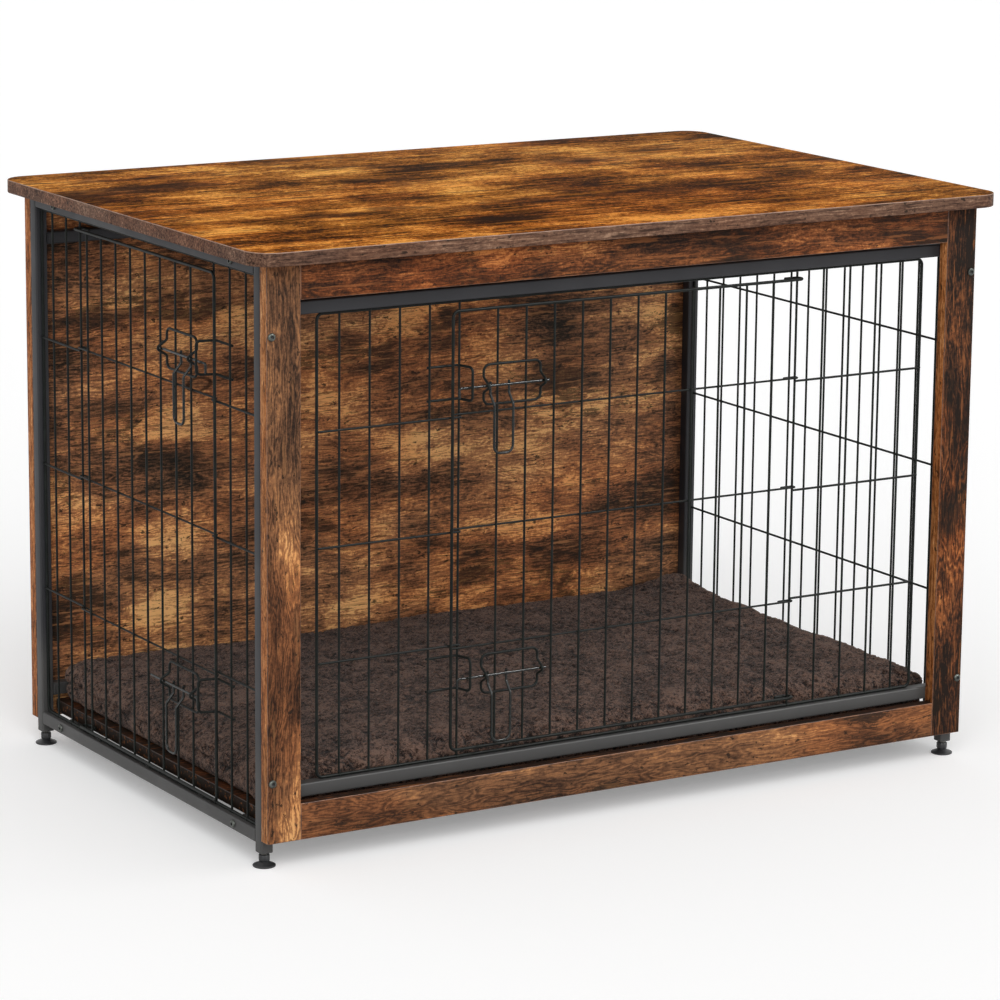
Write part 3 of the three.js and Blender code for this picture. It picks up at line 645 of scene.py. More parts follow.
@dataclass(frozen=True)
class CurlyPlush:
    """Short curly plush: soft chocolate curls, with painted shade in the gaps between them."""

    name: str = "curly_plush"
    # The darkest colour is painted shade between the curls.
    gap_shade: Colour = (13, 8, 6)
    low: Colour = (40, 28, 23)
    curl: Colour = (72, 53, 45)
    tip: Colour = (116, 91, 78)

    def material(self) -> bpy.types.Material:
        """Builds the plush.

        Returns:
            The material.
        """
        g = Graph(self.name)
        here = g.place()
        # Painted shade and light: the stored pile height darkens the hollows and lightens the tops of the
        # curls.
        depth = g.node("ShaderNodeAttribute", {}, attribute_name=PILE_SHADE_ATTRIBUTE).outputs["Fac"]
        swirl = g.drift(here, 150.0, (0.005, 0.005, 0.005))
        commas = g.noise(g.stretch(swirl, (170.0, 215.0, 215.0)), 3.0, 0.66, 0.8)
        worms = g.noise(g.stretch(swirl, (330.0, 400.0, 400.0)), 3.0, 0.7, 1.4)
        strands = g.noise(g.stretch(swirl, (1300.0, 700.0, 900.0)), 2.0, 0.6)
        brushed = g.noise(g.stretch(here, (16.0, 16.0, 16.0)), 3.0)
        gaps = g.step(g.noise(g.stretch(swirl, (150.0, 180.0, 180.0)), 3.0, 0.66, 0.6), 0.34, 0.44)
        # Painted shade: the commas, worms and gaps push the tone dark between the curls.
        terms = [(depth, 0.8), (commas, 2.2), (worms, 2.6), (strands, 0.7), (brushed, 0.9),
                 (gaps, 0.6)]
        tone = g.sum(terms, 0.24)
        stops = ((0.06, self.gap_shade), (0.32, self.low), (0.58, self.curl), (1.00, self.tip))
        height = g.sum([(commas, 0.6), (worms, 0.7), (strands, 0.3), (gaps, 0.4)], 0.5)
        return g.done(Base_Color=g.ramp(tone, stops), Roughness=0.95, Normal=g.bump(height, 0.003, 0.9),
                      Sheen_Weight=0.1, Sheen_Roughness=0.5, Specular_IOR_Level=0.05)


# ------------------------------------------------------------------------------------ mesh making

SMOOTH_ANGLE = math.radians(38)
WIRE_SIDES = 12
BEND_STEPS = 7
TIP_SHARE = 0.62


def bend_path(points: Sequence[Vector], radius: float) -> list[Vector]:
    """Bends a wire's path round at every inner corner.

    Args:
        points: the corners and the two ends.
        radius: the bend's radius along the middle of the wire.

    Returns:
        The points of the bent path.
    """
    path = [points[0]]
    for before, corner, after in zip(points, points[1:], points[2:]):
        back = (before - corner).normalized()
        on = (after - corner).normalized()
        half = back.angle(on) / 2
        if math.pi / 2 - half < 1e-3:
            continue
        centre = corner + (back + on).normalized() * (radius / math.sin(half))
        spoke = corner + back * (radius / math.tan(half)) - centre
        axis = back.cross(on).normalized()
        sweep = -(math.pi - 2 * half)
        for step in range(BEND_STEPS + 1):
            path.append(centre + Matrix.Rotation(sweep * step / BEND_STEPS, 3, axis) @ spoke)
    path.append(points[-1])
    return path


def rounded_square(half: float, radius: float, steps: int) -> list[tuple[float, float]]:
    """A square outline with round corners.

    Args:
        half: half the side.
        radius: the corners' radius.
        steps: how many facets a corner has.

    Returns:
        The outline's points, counter-clockwise.
    """
    return rounded_oblong(half, half, radius, steps)


def rounded_oblong(half_x: float, half_y: float, radius: float, steps: int) -> list[tuple[float, float]]:
    """An oblong outline with round corners.

    Args:
        half_x: half the length.
        half_y: half the width.
        radius: the corners' radius.
        steps: how many facets a corner has.

    Returns:
        The outline's points, counter-clockwise.
    """
    centres = ((1, 1), (-1, 1), (-1, -1), (1, -1))
    outline = []
    for quarter, (sx, sy) in enumerate(centres):
        for step in range(steps + 1):
            angle = (quarter + step / steps) * math.pi / 2
            x = sx * (half_x - radius) + radius * math.cos(angle)
            y = sy * (half_y - radius) + radius * math.sin(angle)
            outline.append((x, y))
    return outline


class Shape:
    """A mesh in the making: closed solids that end up in one piece."""

    def __init__(self) -> None:
        """Starts an empty mesh."""
        self.bm = bmesh.new()

    def ring(self, points: Iterable[Vector]) -> list[bmesh.types.BMVert]:
        """Adds a ring of corners."""
        return [self.bm.verts.new(point) for point in points]

    def skin(self, rings: Sequence[list[bmesh.types.BMVert]], material: int = 0) -> None:
        """Joins each ring to the next.

        Args:
            rings: rings of the same number of corners.
            material: the material's number.
        """
        for low, high in zip(rings, rings[1:]):
            count = len(low)
            for i in range(count):
                j = (i + 1) % count
                self.face([low[i], low[j], high[j], high[i]], material)

    def face(self, corners: Sequence[bmesh.types.BMVert], material: int = 0) -> None:
        """Adds one face.

        Args:
            corners: its corners in order.
            material: the material's number.
        """
        self.bm.faces.new(corners).material_index = material

    def loft(self, rings: Sequence[Iterable[Vector]], material: int = 0) -> None:
        """Adds a closed solid through rings of points, with a flat face at each end.

        Args:
            rings: the rings of points.
            material: the material's number.
        """
        made = [self.ring(ring) for ring in rings]
        self.skin(made, material)
        self.face(made[0][::-1], material)
        self.face(made[-1], material)

    def wire(self, points: Sequence[Vector], radius: float, material: int = 0,
             swell: Callable[[float], float] | None = None) -> None:
        """Adds a round wire with slightly rounded ends.

        Args:
            points: the wire's middle line.
            radius: the wire's radius.
            material: the material's number.
            swell: the share of the radius at a share of the path, where it isn't even.
        """
        ends = (points[1] - points[0]).normalized(), (points[-1] - points[-2]).normalized()
        trim = 0.4 * radius
        path = [points[0], points[0] + ends[0] * trim, *points[1:-1], points[-1] - ends[1] * trim, points[-1]]
        shares = [TIP_SHARE, *[1.0] * (len(path) - 2), TIP_SHARE]
        tangents = []
        for i in range(len(path)):
            before = path[max(i, 1)] - path[max(i, 1) - 1]
            after = path[min(i + 1, len(path) - 1)] - path[min(i, len(path) - 2)]
            tangents.append((before.normalized() + after.normalized()).normalized())
        side = tangents[0].orthogonal().normalized()
        rings = []
        for i, (point, tangent, share) in enumerate(zip(path, tangents, shares)):
            if i:
                side = tangents[i - 1].rotation_difference(tangent) @ side
            other = tangent.cross(side)
            reach = radius * share * (swell(i / (len(path) - 1)) if swell else 1.0)
            turns = [2 * math.pi * k / WIRE_SIDES for k in range(WIRE_SIDES)]
            rings.append([point + (side * math.cos(t) + other * math.sin(t)) * reach for t in turns])
        self.loft(rings, material)

    def nub(self, centre: Vector, size: Vector, material: int = 0) -> None:
        """Adds a small rounded lump of weld metal.

        Args:
            centre: its middle.
            size: its half sizes.
            material: the material's number.
        """
        made = bmesh.ops.create_icosphere(self.bm, subdivisions=2, radius=1.0)
        for vert in made["verts"]:
            vert.co = centre + Vector(vert.co[i] * size[i] for i in range(3))
        for found in {face for vert in made["verts"] for face in vert.link_faces}:
            found.material_index = material

    def bevelled_box(self, low: Vector, high: Vector, bevel: float, thickness_axis: int) -> None:
        """Adds a board with eased corners: faces are material 0, edges 1 and the eased corners 2.

        Args:
            low: its lowest corner.
            high: its highest corner.
            bevel: how far the corners are eased.
            thickness_axis: the axis across the board.
        """
        made = bmesh.ops.create_cube(self.bm, size=1.0)
        centre, size = (low + high) / 2, high - low
        for vert in made["verts"]:
            vert.co = centre + Vector(vert.co[i] * size[i] for i in range(3))
        edges = list({edge for vert in made["verts"] for edge in vert.link_edges})
        eased = bmesh.ops.bevel(self.bm, geom=edges, offset=bevel, segments=3, profile=0.5,
                                affect="EDGES", clamp_overlap=True)
        small = set(eased["faces"])
        self.bm.normal_update()
        for found in self.bm.faces:
            across = abs(found.normal[thickness_axis]) > 0.99
            found.material_index = 2 if found in small else 0 if across else 1

    def lathe(self, foot: Vector, axis: Vector, profile: Sequence[tuple[float, float]], sides: int,
              material: int = 0) -> None:
        """Adds a turned solid.

        Args:
            foot: where its axis starts.
            axis: the way its axis points.
            profile: radius and height of each ring, from one end to the other.
            sides: how many facets go round.
            material: the material's number.
        """
        turn = Vector((0, 0, 1)).rotation_difference(axis)
        rings = []
        for radius, height in profile:
            angles = [2 * math.pi * k / sides for k in range(sides)]
            points = [Vector((radius * math.cos(a), radius * math.sin(a), height)) for a in angles]
            rings.append([foot + turn @ point for point in points])
        self.loft(rings, material)

    def piece(self, name: str, materials: Sequence[bpy.types.Material]) -> bpy.types.Object:
        """Closes the mesh and makes it an object.

        Args:
            name: the object's name.
            materials: the materials by number.

        Returns:
            The object.
        """
        bmesh.ops.recalc_face_normals(self.bm, faces=self.bm.faces)
        mesh = bpy.data.meshes.new(name)
        self.bm.to_mesh(mesh)
        self.bm.free()
        for material in materials:
            mesh.materials.append(material)
        mesh.polygons.foreach_set("use_smooth", [True] * len(mesh.polygons))
        mesh.set_sharp_from_angle(angle=SMOOTH_ANGLE)
        made = bpy.data.objects.new(name, mesh)
        bpy.context.scene.collection.objects.link(made)
        return made


def finished(node: str) -> str:
    """The name of the piece that stands for a node."""
    return f"{node}_finished"


# ------------------------------------------------------------------------------------ boards


@dataclass
class Boards:
    """The laminate boards: the top, the front frame, the back panel and the floor."""

    parts: Parts
    corner_radius: float = 0.030
    corner_steps: int = 14
    ease: float = 0.0007
    arris: Arris = field(default_factory=lambda: Arris("light_arris", (128, 98, 80), (158, 126, 104)))
    dark_arris: Arris = field(default_factory=lambda: Arris("dark_arris", (70, 44, 30), (132, 88, 58)))
    # Painted shade: the floor board's corners are dark, standing in for the shade they lie in.
    floor_shade_arris: Arris = field(default_factory=lambda: Arris("floor_shade_arris", (36, 24, 18), (60, 41, 31)))

    def build(self) -> None:
        """Makes every board."""
        self.light = self.arris.material()
        self.dark = self.dark_arris.material()
        self.top()
        upright, level = Grain.ALONG_Z, Grain.ALONG_X
        side_band = Laminate("post_side_band", Palette.TAN, upright, 5.3, patches=0.8,
                             fibres=1.6, stain=0.0, knots=2.0)
        self.plank("front_left_post_board", Laminate("left_post", Palette.HAZEL, upright, 1.7,
                   rings=0.3, fibres=0.7, weave=1.0, flecks=0.3, stain_level=0.575,
                   middle=0.57), side_band, 1)
        self.plank("front_right_post_board", Laminate("right_post", Palette.RUSSET, upright, 4.1,
                   rings=0.4, middle=0.31), side_band, 1)
        rail_band = Laminate("rail_band", Palette.TAN, level, 2.9, patches=0.8, fibres=1.6,
                             stain=0.0, knots=2.0)
        dark_band = Laminate("dark_band", Palette.RUSSET, level, 5.1, patches=0.6, fibres=1.2,
                             middle=0.08, stain=0.6, stain_level=0.5, knots=2.0)
        self.plank("front_top_rail_board", Laminate("top_rail", Palette.RUSSET, level, 7.4,
                   middle=0.45), rail_band, 1)
        self.plank("front_bottom_rail_board", Laminate("bottom_rail", Palette.HAZEL, level, 9.2,
                   patches=1.8, fibres=0.5, weave=0.75, flecks=0.2, stain_level=0.6,
                   middle=0.38), dark_band, 1)
        back = Laminate("back_panel", Palette.UMBER, level, 3.3, patches=2.9, middle=0.58,
                        stain=0.8, stain_level=0.555, stain_colour=(32, 29, 25))
        self.plank("back_board", back, side_band, 1)
        # Painted shade: the floor board's face, edge band and corners are made dark, standing in for the
        # shade under the cushion and along the walls.
        floor = Laminate("floor_board", Palette.RUSSET, level, 6.6, middle=0.1)
        floor_shade_band = Laminate("floor_shade_band", Palette.RUSSET, level, 7.9, patches=0.8, middle=-0.25,
                              stain=0.9, stain_level=0.5, knots=2.0)
        self.plank("floor_board", floor, floor_shade_band, 2, self.floor_shade_arris.material())

    def plank(self, node: str, face: Laminate, band: Laminate, thickness_axis: int,
              arris: bpy.types.Material | None = None) -> None:
        """Makes one plain board.

        Args:
            node: the node it stands for.
            face: the laminate of its faces.
            band: the band of its edges.
            thickness_axis: the axis across the board.
            arris: the finish of its corners, where it isn't the dark one.
        """
        low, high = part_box(node)
        shape = Shape()
        shape.bevelled_box(low, high, self.ease, thickness_axis)
        made = shape.piece(finished(node), (face.material(), band.material(), arris or self.dark))
        self.parts.stand_in(made, node)

    def top(self) -> None:
        """Makes the top with its round corners, its edge band and its scuffed arris."""
        low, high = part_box("top_board")
        centre, half = (low + high) / 2, (high - low) / 2
        steps = 4
        turns = [math.pi / 2 * step / steps for step in range(steps + 1)]
        levels = [(self.ease * (1 - math.sin(t)), low.z + self.ease * (1 - math.cos(t))) for t in turns]
        levels += [(self.ease * (1 - math.cos(t)), high.z - self.ease * (1 - math.sin(t))) for t in turns]
        shape = Shape()
        rings = []
        for inset, height in levels:
            outline = rounded_oblong(half.x - inset, half.y - inset, self.corner_radius - inset,
                                     self.corner_steps)
            rings.append(shape.ring(Vector((centre.x + x, centre.y + y, height)) for x, y in outline))
        shape.skin(rings[: steps + 1], 1)
        shape.skin(rings[steps : steps + 2], 1)
        shape.skin(rings[steps + 1 :], 2)
        shape.face(rings[0][::-1], 3)
        shape.face(rings[-1], 0)
        face = Laminate("top_face", Palette.AMBER, Grain.ALONG_X, 0.4, patches=3.2,
                        patch_scale=(7.0, 8.5), bands=1.7, band_pitch=34.0, fibres=1.6, weave=2.2,
                        fleck_pitch=85.0, flecks=0.6, stain=0.7, stain_level=0.58,
                        stain_colour=(40, 25, 11), gloss=0.55, shine=0.004)
        band = Laminate("top_band", Palette.TAUPE, Grain.ALONG_X, 8.8, patches=0.6, fibres=2.0,
                        rings=0.15, stain=0.0, knots=2.0)
        under = Laminate("top_underside", Palette.UMBER, Grain.ALONG_X, 11.0, stain=0.4)
        materials = (face.material(), band.material(), self.light, under.material())
        self.parts.stand_in(shape.piece(finished("top_board"), materials), "top_board")


# ------------------------------------------------------------------------------------ steel frame


@dataclass
class SteelFrame:
    """The welded frame of square tube, with its crossbars and weld beads."""

    parts: Parts
    wall: float = 0.0015
    corner_radius: float = 0.0021
    corner_steps: int = 5
    inner_corner: float = 0.4
    ease: float = 0.0003
    bore_radius: float = 0.0043
    bore_depth: float = 0.022
    weld_radius: float = 0.0013
    weld_ripples: int = 9
    coat: PowderCoat = field(default_factory=PowderCoat)

    def build(self) -> None:
        """Makes every tube."""
        self.paint = self.coat.material()
        for side in ("left", "right"):
            for end in ("front", "back"):
                self.tube(f"{side}_{end}_post", 2, plugged=True)
            for level in ("bottom", "top"):
                self.tube(f"{side}_{level}_rail", 1)
        for end in ("front", "back"):
            for level in ("lower", "upper"):
                self.tube(f"{end}_{level}_tube", 0)
            for level in ("floor", "roof"):
                self.tube(f"{end}_{level}_crossbar", 0, welded=False)

    def tube(self, node: str, axis: int, plugged: bool = False, welded: bool = True) -> None:
        """Makes one tube.

        Args:
            node: the node it stands for.
            axis: the axis along the tube.
            plugged: whether its lower end is plugged and bored for a foot's stud.
            welded: whether weld beads hold its ends.
        """
        low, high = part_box(node)
        centre = (low + high) / 2
        across = [(axis + 1) % 3, (axis + 2) % 3]
        half = (high[across[0]] - low[across[0]]) / 2

        def ring(reach: float, radius: float, along: float) -> list[Vector]:
            """One square ring of the tube.

            Args:
                reach: half the ring's side.
                radius: the radius of its corners.
                along: where it lies along the tube.

            Returns:
                The ring's points.
            """
            points = []
            for first, second in rounded_square(reach, radius, self.corner_steps):
                point = Vector(centre)
                point[across[0]] += first
                point[across[1]] += second
                point[axis] = along
                points.append(point)
            return points

        shape = Shape()
        inner, inner_radius = half - self.wall, self.corner_radius * self.inner_corner
        ease = self.ease
        outside = [shape.ring(ring(half - ease, self.corner_radius, low[axis])),
                   shape.ring(ring(half, self.corner_radius, low[axis] + ease)),
                   shape.ring(ring(half, self.corner_radius, high[axis] - ease)),
                   shape.ring(ring(half - ease, self.corner_radius, high[axis]))]
        shape.skin(outside)
        if plugged:
            self.bore(shape, outside[0])
            shape.face(outside[-1])
        else:
            inside = [shape.ring(ring(inner, inner_radius, low[axis])),
                      shape.ring(ring(inner, inner_radius, high[axis]))]
            shape.skin([inside[1], inside[0]])
            shape.skin([inside[0], outside[0]])
            shape.skin([outside[-1], inside[1]])
            if welded:
                self.welds(shape, low, high, axis)
        self.parts.stand_in(shape.piece(finished(node), (self.paint,)), node)

    def bore(self, shape: Shape, mouth: list[bmesh.types.BMVert]) -> None:
        """Drills the hole that a foot's stud goes up in a post's lower end.

        Args:
            shape: the post's mesh.
            mouth: the ring round the post's lower end.
        """
        count = len(mouth)
        middle = sum((vert.co for vert in mouth), Vector()) / count
        spokes = [mouth[k].co - middle for k in (0, self.corner_steps)]
        first, last = (math.atan2(spoke.y, spoke.x) for spoke in spokes)
        start = (first + last) / 2 - math.pi * self.corner_steps / count
        rings = []
        for depth in (0.0, self.bore_depth):
            angles = [start + 2 * math.pi * k / count for k in range(count)]
            rings.append(shape.ring(middle + Vector((self.bore_radius * math.cos(angle),
                                                     self.bore_radius * math.sin(angle), depth))
                                    for angle in angles))
        rim, end = rings
        shape.skin([rim, mouth])
        shape.skin([end, rim])
        shape.face(end[::-1])

    def welds(self, shape: Shape, low: Vector, high: Vector, axis: int) -> None:
        """Adds a rippled bead along the inner side of each end of a tube.

        Args:
            shape: the tube's mesh.
            low: the tube's lowest corner.
            high: the tube's highest corner.
            axis: the axis along the tube.
        """
        inward = 1 if axis == 0 else 0
        side = high if (low + high)[inward] < 0 else low
        for end in (low[axis] + self.weld_radius * 0.5, high[axis] - self.weld_radius * 0.5):
            start, stop = Vector(low), Vector(high)
            for point in (start, stop):
                point[axis] = end
                point[inward] = side[inward]
            start.z = low.z + 0.0025
            stop.z = high.z - 0.0025
            count = self.weld_ripples * 2
            path = [start.lerp(stop, k / count) for k in range(count + 1)]
            shape.wire(path, self.weld_radius,
                       swell=lambda share: 0.86 + 0.14 * math.cos(share * 2 * math.pi * self.weld_ripples))


# ------------------------------------------------------------------------------------ wire walls


@dataclass(frozen=True)
class WallPlane:
    """Where a wall stands, as its middle at the floor and two directions."""

    origin: Vector
    along: Vector
    outward: Vector

    def at(self, along: float, out: float, up: float) -> Vector:
        """A point of the wall: along it, outward from the plane of its uprights, and up."""
        return self.origin + self.along * along + self.outward * out + Vector((0, 0, up))

    def size(self, along: float, out: float, up: float) -> Vector:
        """Half sizes along the wall, outward and up, as half sizes in the crate."""
        spread = self.along * along + self.outward * out + Vector((0, 0, up))
        return Vector(abs(value) for value in spread)


@dataclass(frozen=True)
class WireSizes:
    """The radii, layers and spacings that the walls and doors share."""

    thin: float = 0.0012
    coat: float = 0.00014
    frame: float = 0.0018
    hinge: float = 0.0014
    latch: float = 0.0015
    sink: float = 0.0004
    frame_sink: float = 0.0005
    clearance: float = 0.0003
    frame_bend: float = 0.007
    pitch: float = 0.0373
    rows: int = 3
    row_stub: float = 0.002

    @property
    def coated(self) -> float:
        """The radius of a thin wire with its coating."""
        return self.thin + self.coat

    @property
    def wall_row(self) -> float:
        """The layer of a wall's rows."""
        return 2 * self.thin - self.sink

    @property
    def door_row(self) -> float:
        """The layer of a door's rows."""
        return self.hinge + self.clearance + self.thin

    @property
    def door_upright(self) -> float:
        """The layer of a door's uprights."""
        return self.door_row + 2 * self.thin - self.sink

    @property
    def door_frame(self) -> float:
        """The layer of a door's frame wire."""
        return self.door_row + self.thin + self.frame - self.frame_sink

    @property
    def guide(self) -> float:
        """The layer of a latch's guide."""
        return self.door_upright + self.thin + self.latch - self.sink

    @property
    def keeper_arm(self) -> float:
        """The layer of a keeper's arms, behind the uprights."""
        return self.sink - self.thin - self.latch


WIRES = WireSizes()


@dataclass
class WirePanel:
    """A flat grid of wires with a weld at every crossing."""

    plane: WallPlane
    shape: Shape = field(default_factory=Shape)
    weld_width: float = 0.0017
    weld_depth: float = 0.0012

    def line(self, start: Point, end: Point, radius: float) -> None:
        """Adds a straight wire between two points of the wall."""
        self.shape.wire([self.plane.at(*start), self.plane.at(*end)], radius)

    def path(self, points: Sequence[Point], radius: float, bend: float | None = None) -> None:
        """Adds a bent wire.

        Args:
            points: its points on the wall.
            radius: the wire's radius.
            bend: the bends' radius, or None where the points are already a curve.
        """
        placed = [self.plane.at(*point) for point in points]
        self.shape.wire(bend_path(placed, bend) if bend else placed, radius)

    def weld(self, along: float, out: float, up: float) -> None:
        """Adds the small squashed lump where two wires cross."""
        size = self.plane.size(self.weld_width, self.weld_depth, self.weld_width)
        self.shape.nub(self.plane.at(along, out, up), size)


def row_heights(bottom: float, top: float) -> list[float]:
    """The heights of the rows between two frame wires."""
    return [bottom + (top - bottom) * (i + 1) / (WIRES.rows + 1) for i in range(WIRES.rows)]


def upright_places(first: float, width: float) -> list[float]:
    """The distances from a wall's middle to its uprights on one side.

    Args:
        first: the distance to the first upright.
        width: the wall's width.

    Returns:
        The distances, the smallest first.
    """
    places = []
    along = first
    while along < (width - WIRES.pitch) / 2:
        places.append(along)
        along += WIRES.pitch
    return places


@dataclass
class DoorPlan:
    """The sizes of a door and of the doorway it closes."""

    name: str
    doorway: float
    hand: int
    wall_bottom: float
    wall_top: float
    above_bottom: float
    hinge_bay: float
    uprights: int
    lap: float = 0.011
    below_top: float = 0.010
    latch_bay: float = 0.057
    stagger: float = 0.0035
    tail: float = 0.014
    hook_steps: int = 14

    @property
    def stop(self) -> float:
        """The place of the stop wire."""
        return -self.hand * self.doorway / 2

    @property
    def hinge(self) -> float:
        """The place of the hinge wire."""
        return self.hand * self.doorway / 2

    @property
    def edge(self) -> float:
        """The place of the door's free edge."""
        return self.stop - self.hand * self.lap

    @property
    def bottom(self) -> float:
        """The height of the door's lower frame wire."""
        return self.wall_bottom + self.above_bottom

    @property
    def top(self) -> float:
        """The height of the door's upper frame wire."""
        return self.wall_top - self.below_top

    def rows(self) -> list[float]:
        """The heights of the door's rows, which pass the wall's rows by a little."""
        heights = row_heights(self.wall_bottom, self.wall_top)
        return [height + (-self.stagger if i == 0 else self.stagger) for i, height in enumerate(heights)]

    def hook(self, out: float, height: float) -> list[Point]:
        """The hook of a wire round the hinge wire, from its tail to the front.

        Args:
            out: the layer of the wire.
            height: its height.

        Returns:
            The hook's points.
        """
        points = [(self.hinge - self.hand * self.tail, -out, height)]
        for step in range(self.hook_steps + 1):
            angle = math.pi * step / self.hook_steps
            along = self.hinge + self.hand * out * math.sin(angle)
            points.append((along, -out * math.cos(angle), height))
        return points


@dataclass
class Latch:
    """A slide bolt: the guide on the door, the keeper on the wall, and the bolt with its pull."""

    name: str
    door: DoorPlan
    height: float
    slid: float = 0.0
    guide_start: float = 0.027
    guide_width: float = 0.073
    guide_height: float = 0.0445
    guide_bend: float = 0.0075
    kink_height: float = 0.017
    kink_depth: float = 0.014
    kink_bend: float = 0.003
    standoff: float = 0.0075
    reach: float = 0.008
    stub: float = 0.007
    hook_drop: float = 0.0115
    hook_shank: float = 0.004
    hook_bend: float = 0.0018
    seat: float = 0.0003
    pull_start: float = 0.033
    pull_width: float = 0.024
    pull_drop: float = 0.075
    pull_stub: float = 0.004
    pull_bend: float = 0.008
    jog_top: float = 0.010
    jog_bottom: float = 0.021
    jog_out: float = 0.006
    jog_bend: float = 0.003
    keeper_bar: float = 0.006
    keeper_rise: float = 0.023
    keeper_drop: float = 0.0142
    keeper_clearance: float = 0.0013
    keeper_bend: float = 0.005
    keeper_tail: float = 0.002

    @property
    def layer(self) -> float:
        """The layer of the bolt's axis."""
        return WIRES.guide + self.standoff

    def fixed(self, from_stop: float, out: float, up: float) -> Point:
        """A point of the latch's fixed wires, measured from the stop wire to the hinge."""
        return (self.door.stop + self.door.hand * from_stop, out, self.height + up)

    def moving(self, from_stop: float, out: float, up: float) -> Point:
        """A point of the bolt or its pull, where the bolt stands."""
        return self.fixed(from_stop + self.slid, out, up)

    def guide(self, panel: WirePanel) -> None:
        """Adds the loop that guides the bolt in two outward kinks.

        Args:
            panel: the door's wires.
        """
        low, high = -self.guide_height / 2, self.guide_height / 2
        middle = self.guide_start + self.guide_width / 2
        for edge in (self.guide_start, self.guide_start + self.guide_width):
            kink_top = self.fixed(edge, WIRES.guide, self.kink_height / 2)
            tip = self.fixed(edge, WIRES.guide + self.kink_depth, 0)
            kink_bottom = self.fixed(edge, WIRES.guide, -self.kink_height / 2)
            place = panel.plane.at
            upper = bend_path([place(*self.fixed(middle, WIRES.guide, high)),
                               place(*self.fixed(edge, WIRES.guide, high)), place(*kink_top)],
                              self.guide_bend)
            kink = bend_path([place(*kink_top), place(*tip), place(*kink_bottom)], self.kink_bend)
            lower = bend_path([place(*kink_bottom), place(*self.fixed(edge, WIRES.guide, low)),
                               place(*self.fixed(middle, WIRES.guide, low))], self.guide_bend)
            corner = [kink[0].lerp(upper[-2], 0.18), kink[0].lerp(kink[1], 0.18)]
            back = [kink[-1].lerp(kink[-2], 0.18), kink[-1].lerp(lower[1], 0.18)]
            panel.shape.wire([*upper[:-1], *corner, *kink[1:-1], *back, *lower[1:]], WIRES.latch)
        for level in (low, high):
            for step in (0.3, 0.7):
                place_along = self.guide_start + self.guide_width * step
                panel.weld(*self.fixed(place_along, WIRES.guide - WIRES.latch, level))

    def keeper(self, panel: WirePanel) -> None:
        """Adds the wire on the wall whose upright bar holds the bolt.

        Args:
            panel: the wall's wires.
        """
        end = -(WIRES.pitch + self.keeper_tail)
        bar_layer = self.layer + 2 * WIRES.latch + self.keeper_clearance
        low, high = -self.keeper_drop, self.keeper_rise
        points = [self.fixed(end, WIRES.keeper_arm, high), self.fixed(0, WIRES.keeper_arm, high),
                  self.fixed(self.keeper_bar, bar_layer, high), self.fixed(self.keeper_bar, bar_layer, low),
                  self.fixed(0, WIRES.keeper_arm, low), self.fixed(end, WIRES.keeper_arm, low)]
        panel.path(points, WIRES.latch, self.keeper_bend)
        for level in (low, high):
            for along in (0.0, -WIRES.pitch):
                panel.weld(*self.fixed(along, WIRES.keeper_arm / 2, level))

    def bolt(self, plane: WallPlane, parts: Parts, coat: bpy.types.Material) -> None:
        """Makes the rod, the hook at its end and the pull that hangs on it.

        Args:
            plane: the wall's plane.
            parts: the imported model's nodes.
            coat: the wire's coating.
        """
        tip = -self.reach + self.hook_shank
        rod = WirePanel(plane)
        end = self.guide_start + self.guide_width + self.stub
        rod.line(self.moving(tip + self.seat, self.layer, 0), self.moving(end, self.layer, 0), WIRES.latch)
        hook = WirePanel(plane)
        hook.path([self.moving(tip, self.layer, 0), self.moving(-self.reach, self.layer, 0),
                   self.moving(-self.reach, self.layer, -self.hook_drop)], WIRES.latch, self.hook_bend)
        pull = WirePanel(plane)
        pull.shape.wire(self.pull_path(plane), WIRES.latch)
        for made, part in ((rod, "rod"), (hook, "hook"), (pull, "handle")):
            node = f"{self.name}_bolt_{part}"
            parts.stand_in(made.shape.piece(finished(node), (coat,)), node)

    def pull_path(self, plane: WallPlane) -> list[Vector]:
        """The line of the pull: two legs that jog outward and meet in a round loop.

        Args:
            plane: the wall's plane.

        Returns:
            The line's points.
        """
        inner = self.layer - 2 * WIRES.latch - WIRES.clearance
        outer = self.layer + self.jog_out

        def leg(along: float) -> list[Vector]:
            """The corners of one leg from its top to its foot."""
            stops = ((inner, self.pull_stub), (inner, -self.jog_top), (outer, -self.jog_bottom),
                     (outer, -self.pull_drop))
            return [plane.at(*self.moving(along, out, up)) for out, up in stops]

        near, far = leg(self.pull_start), leg(self.pull_start + self.pull_width)
        down = bend_path([near[0], near[1], near[2], near[2].lerp(near[3], 0.5)], self.jog_bend)
        loop = bend_path([near[2].lerp(near[3], 0.5), near[3], far[3], far[3].lerp(far[2], 0.5)],
                         self.pull_bend)
        rise = bend_path([far[3].lerp(far[2], 0.5), far[2], far[1], far[0]], self.jog_bend)
        return [*down[:-1], *loop, *rise[1:]]


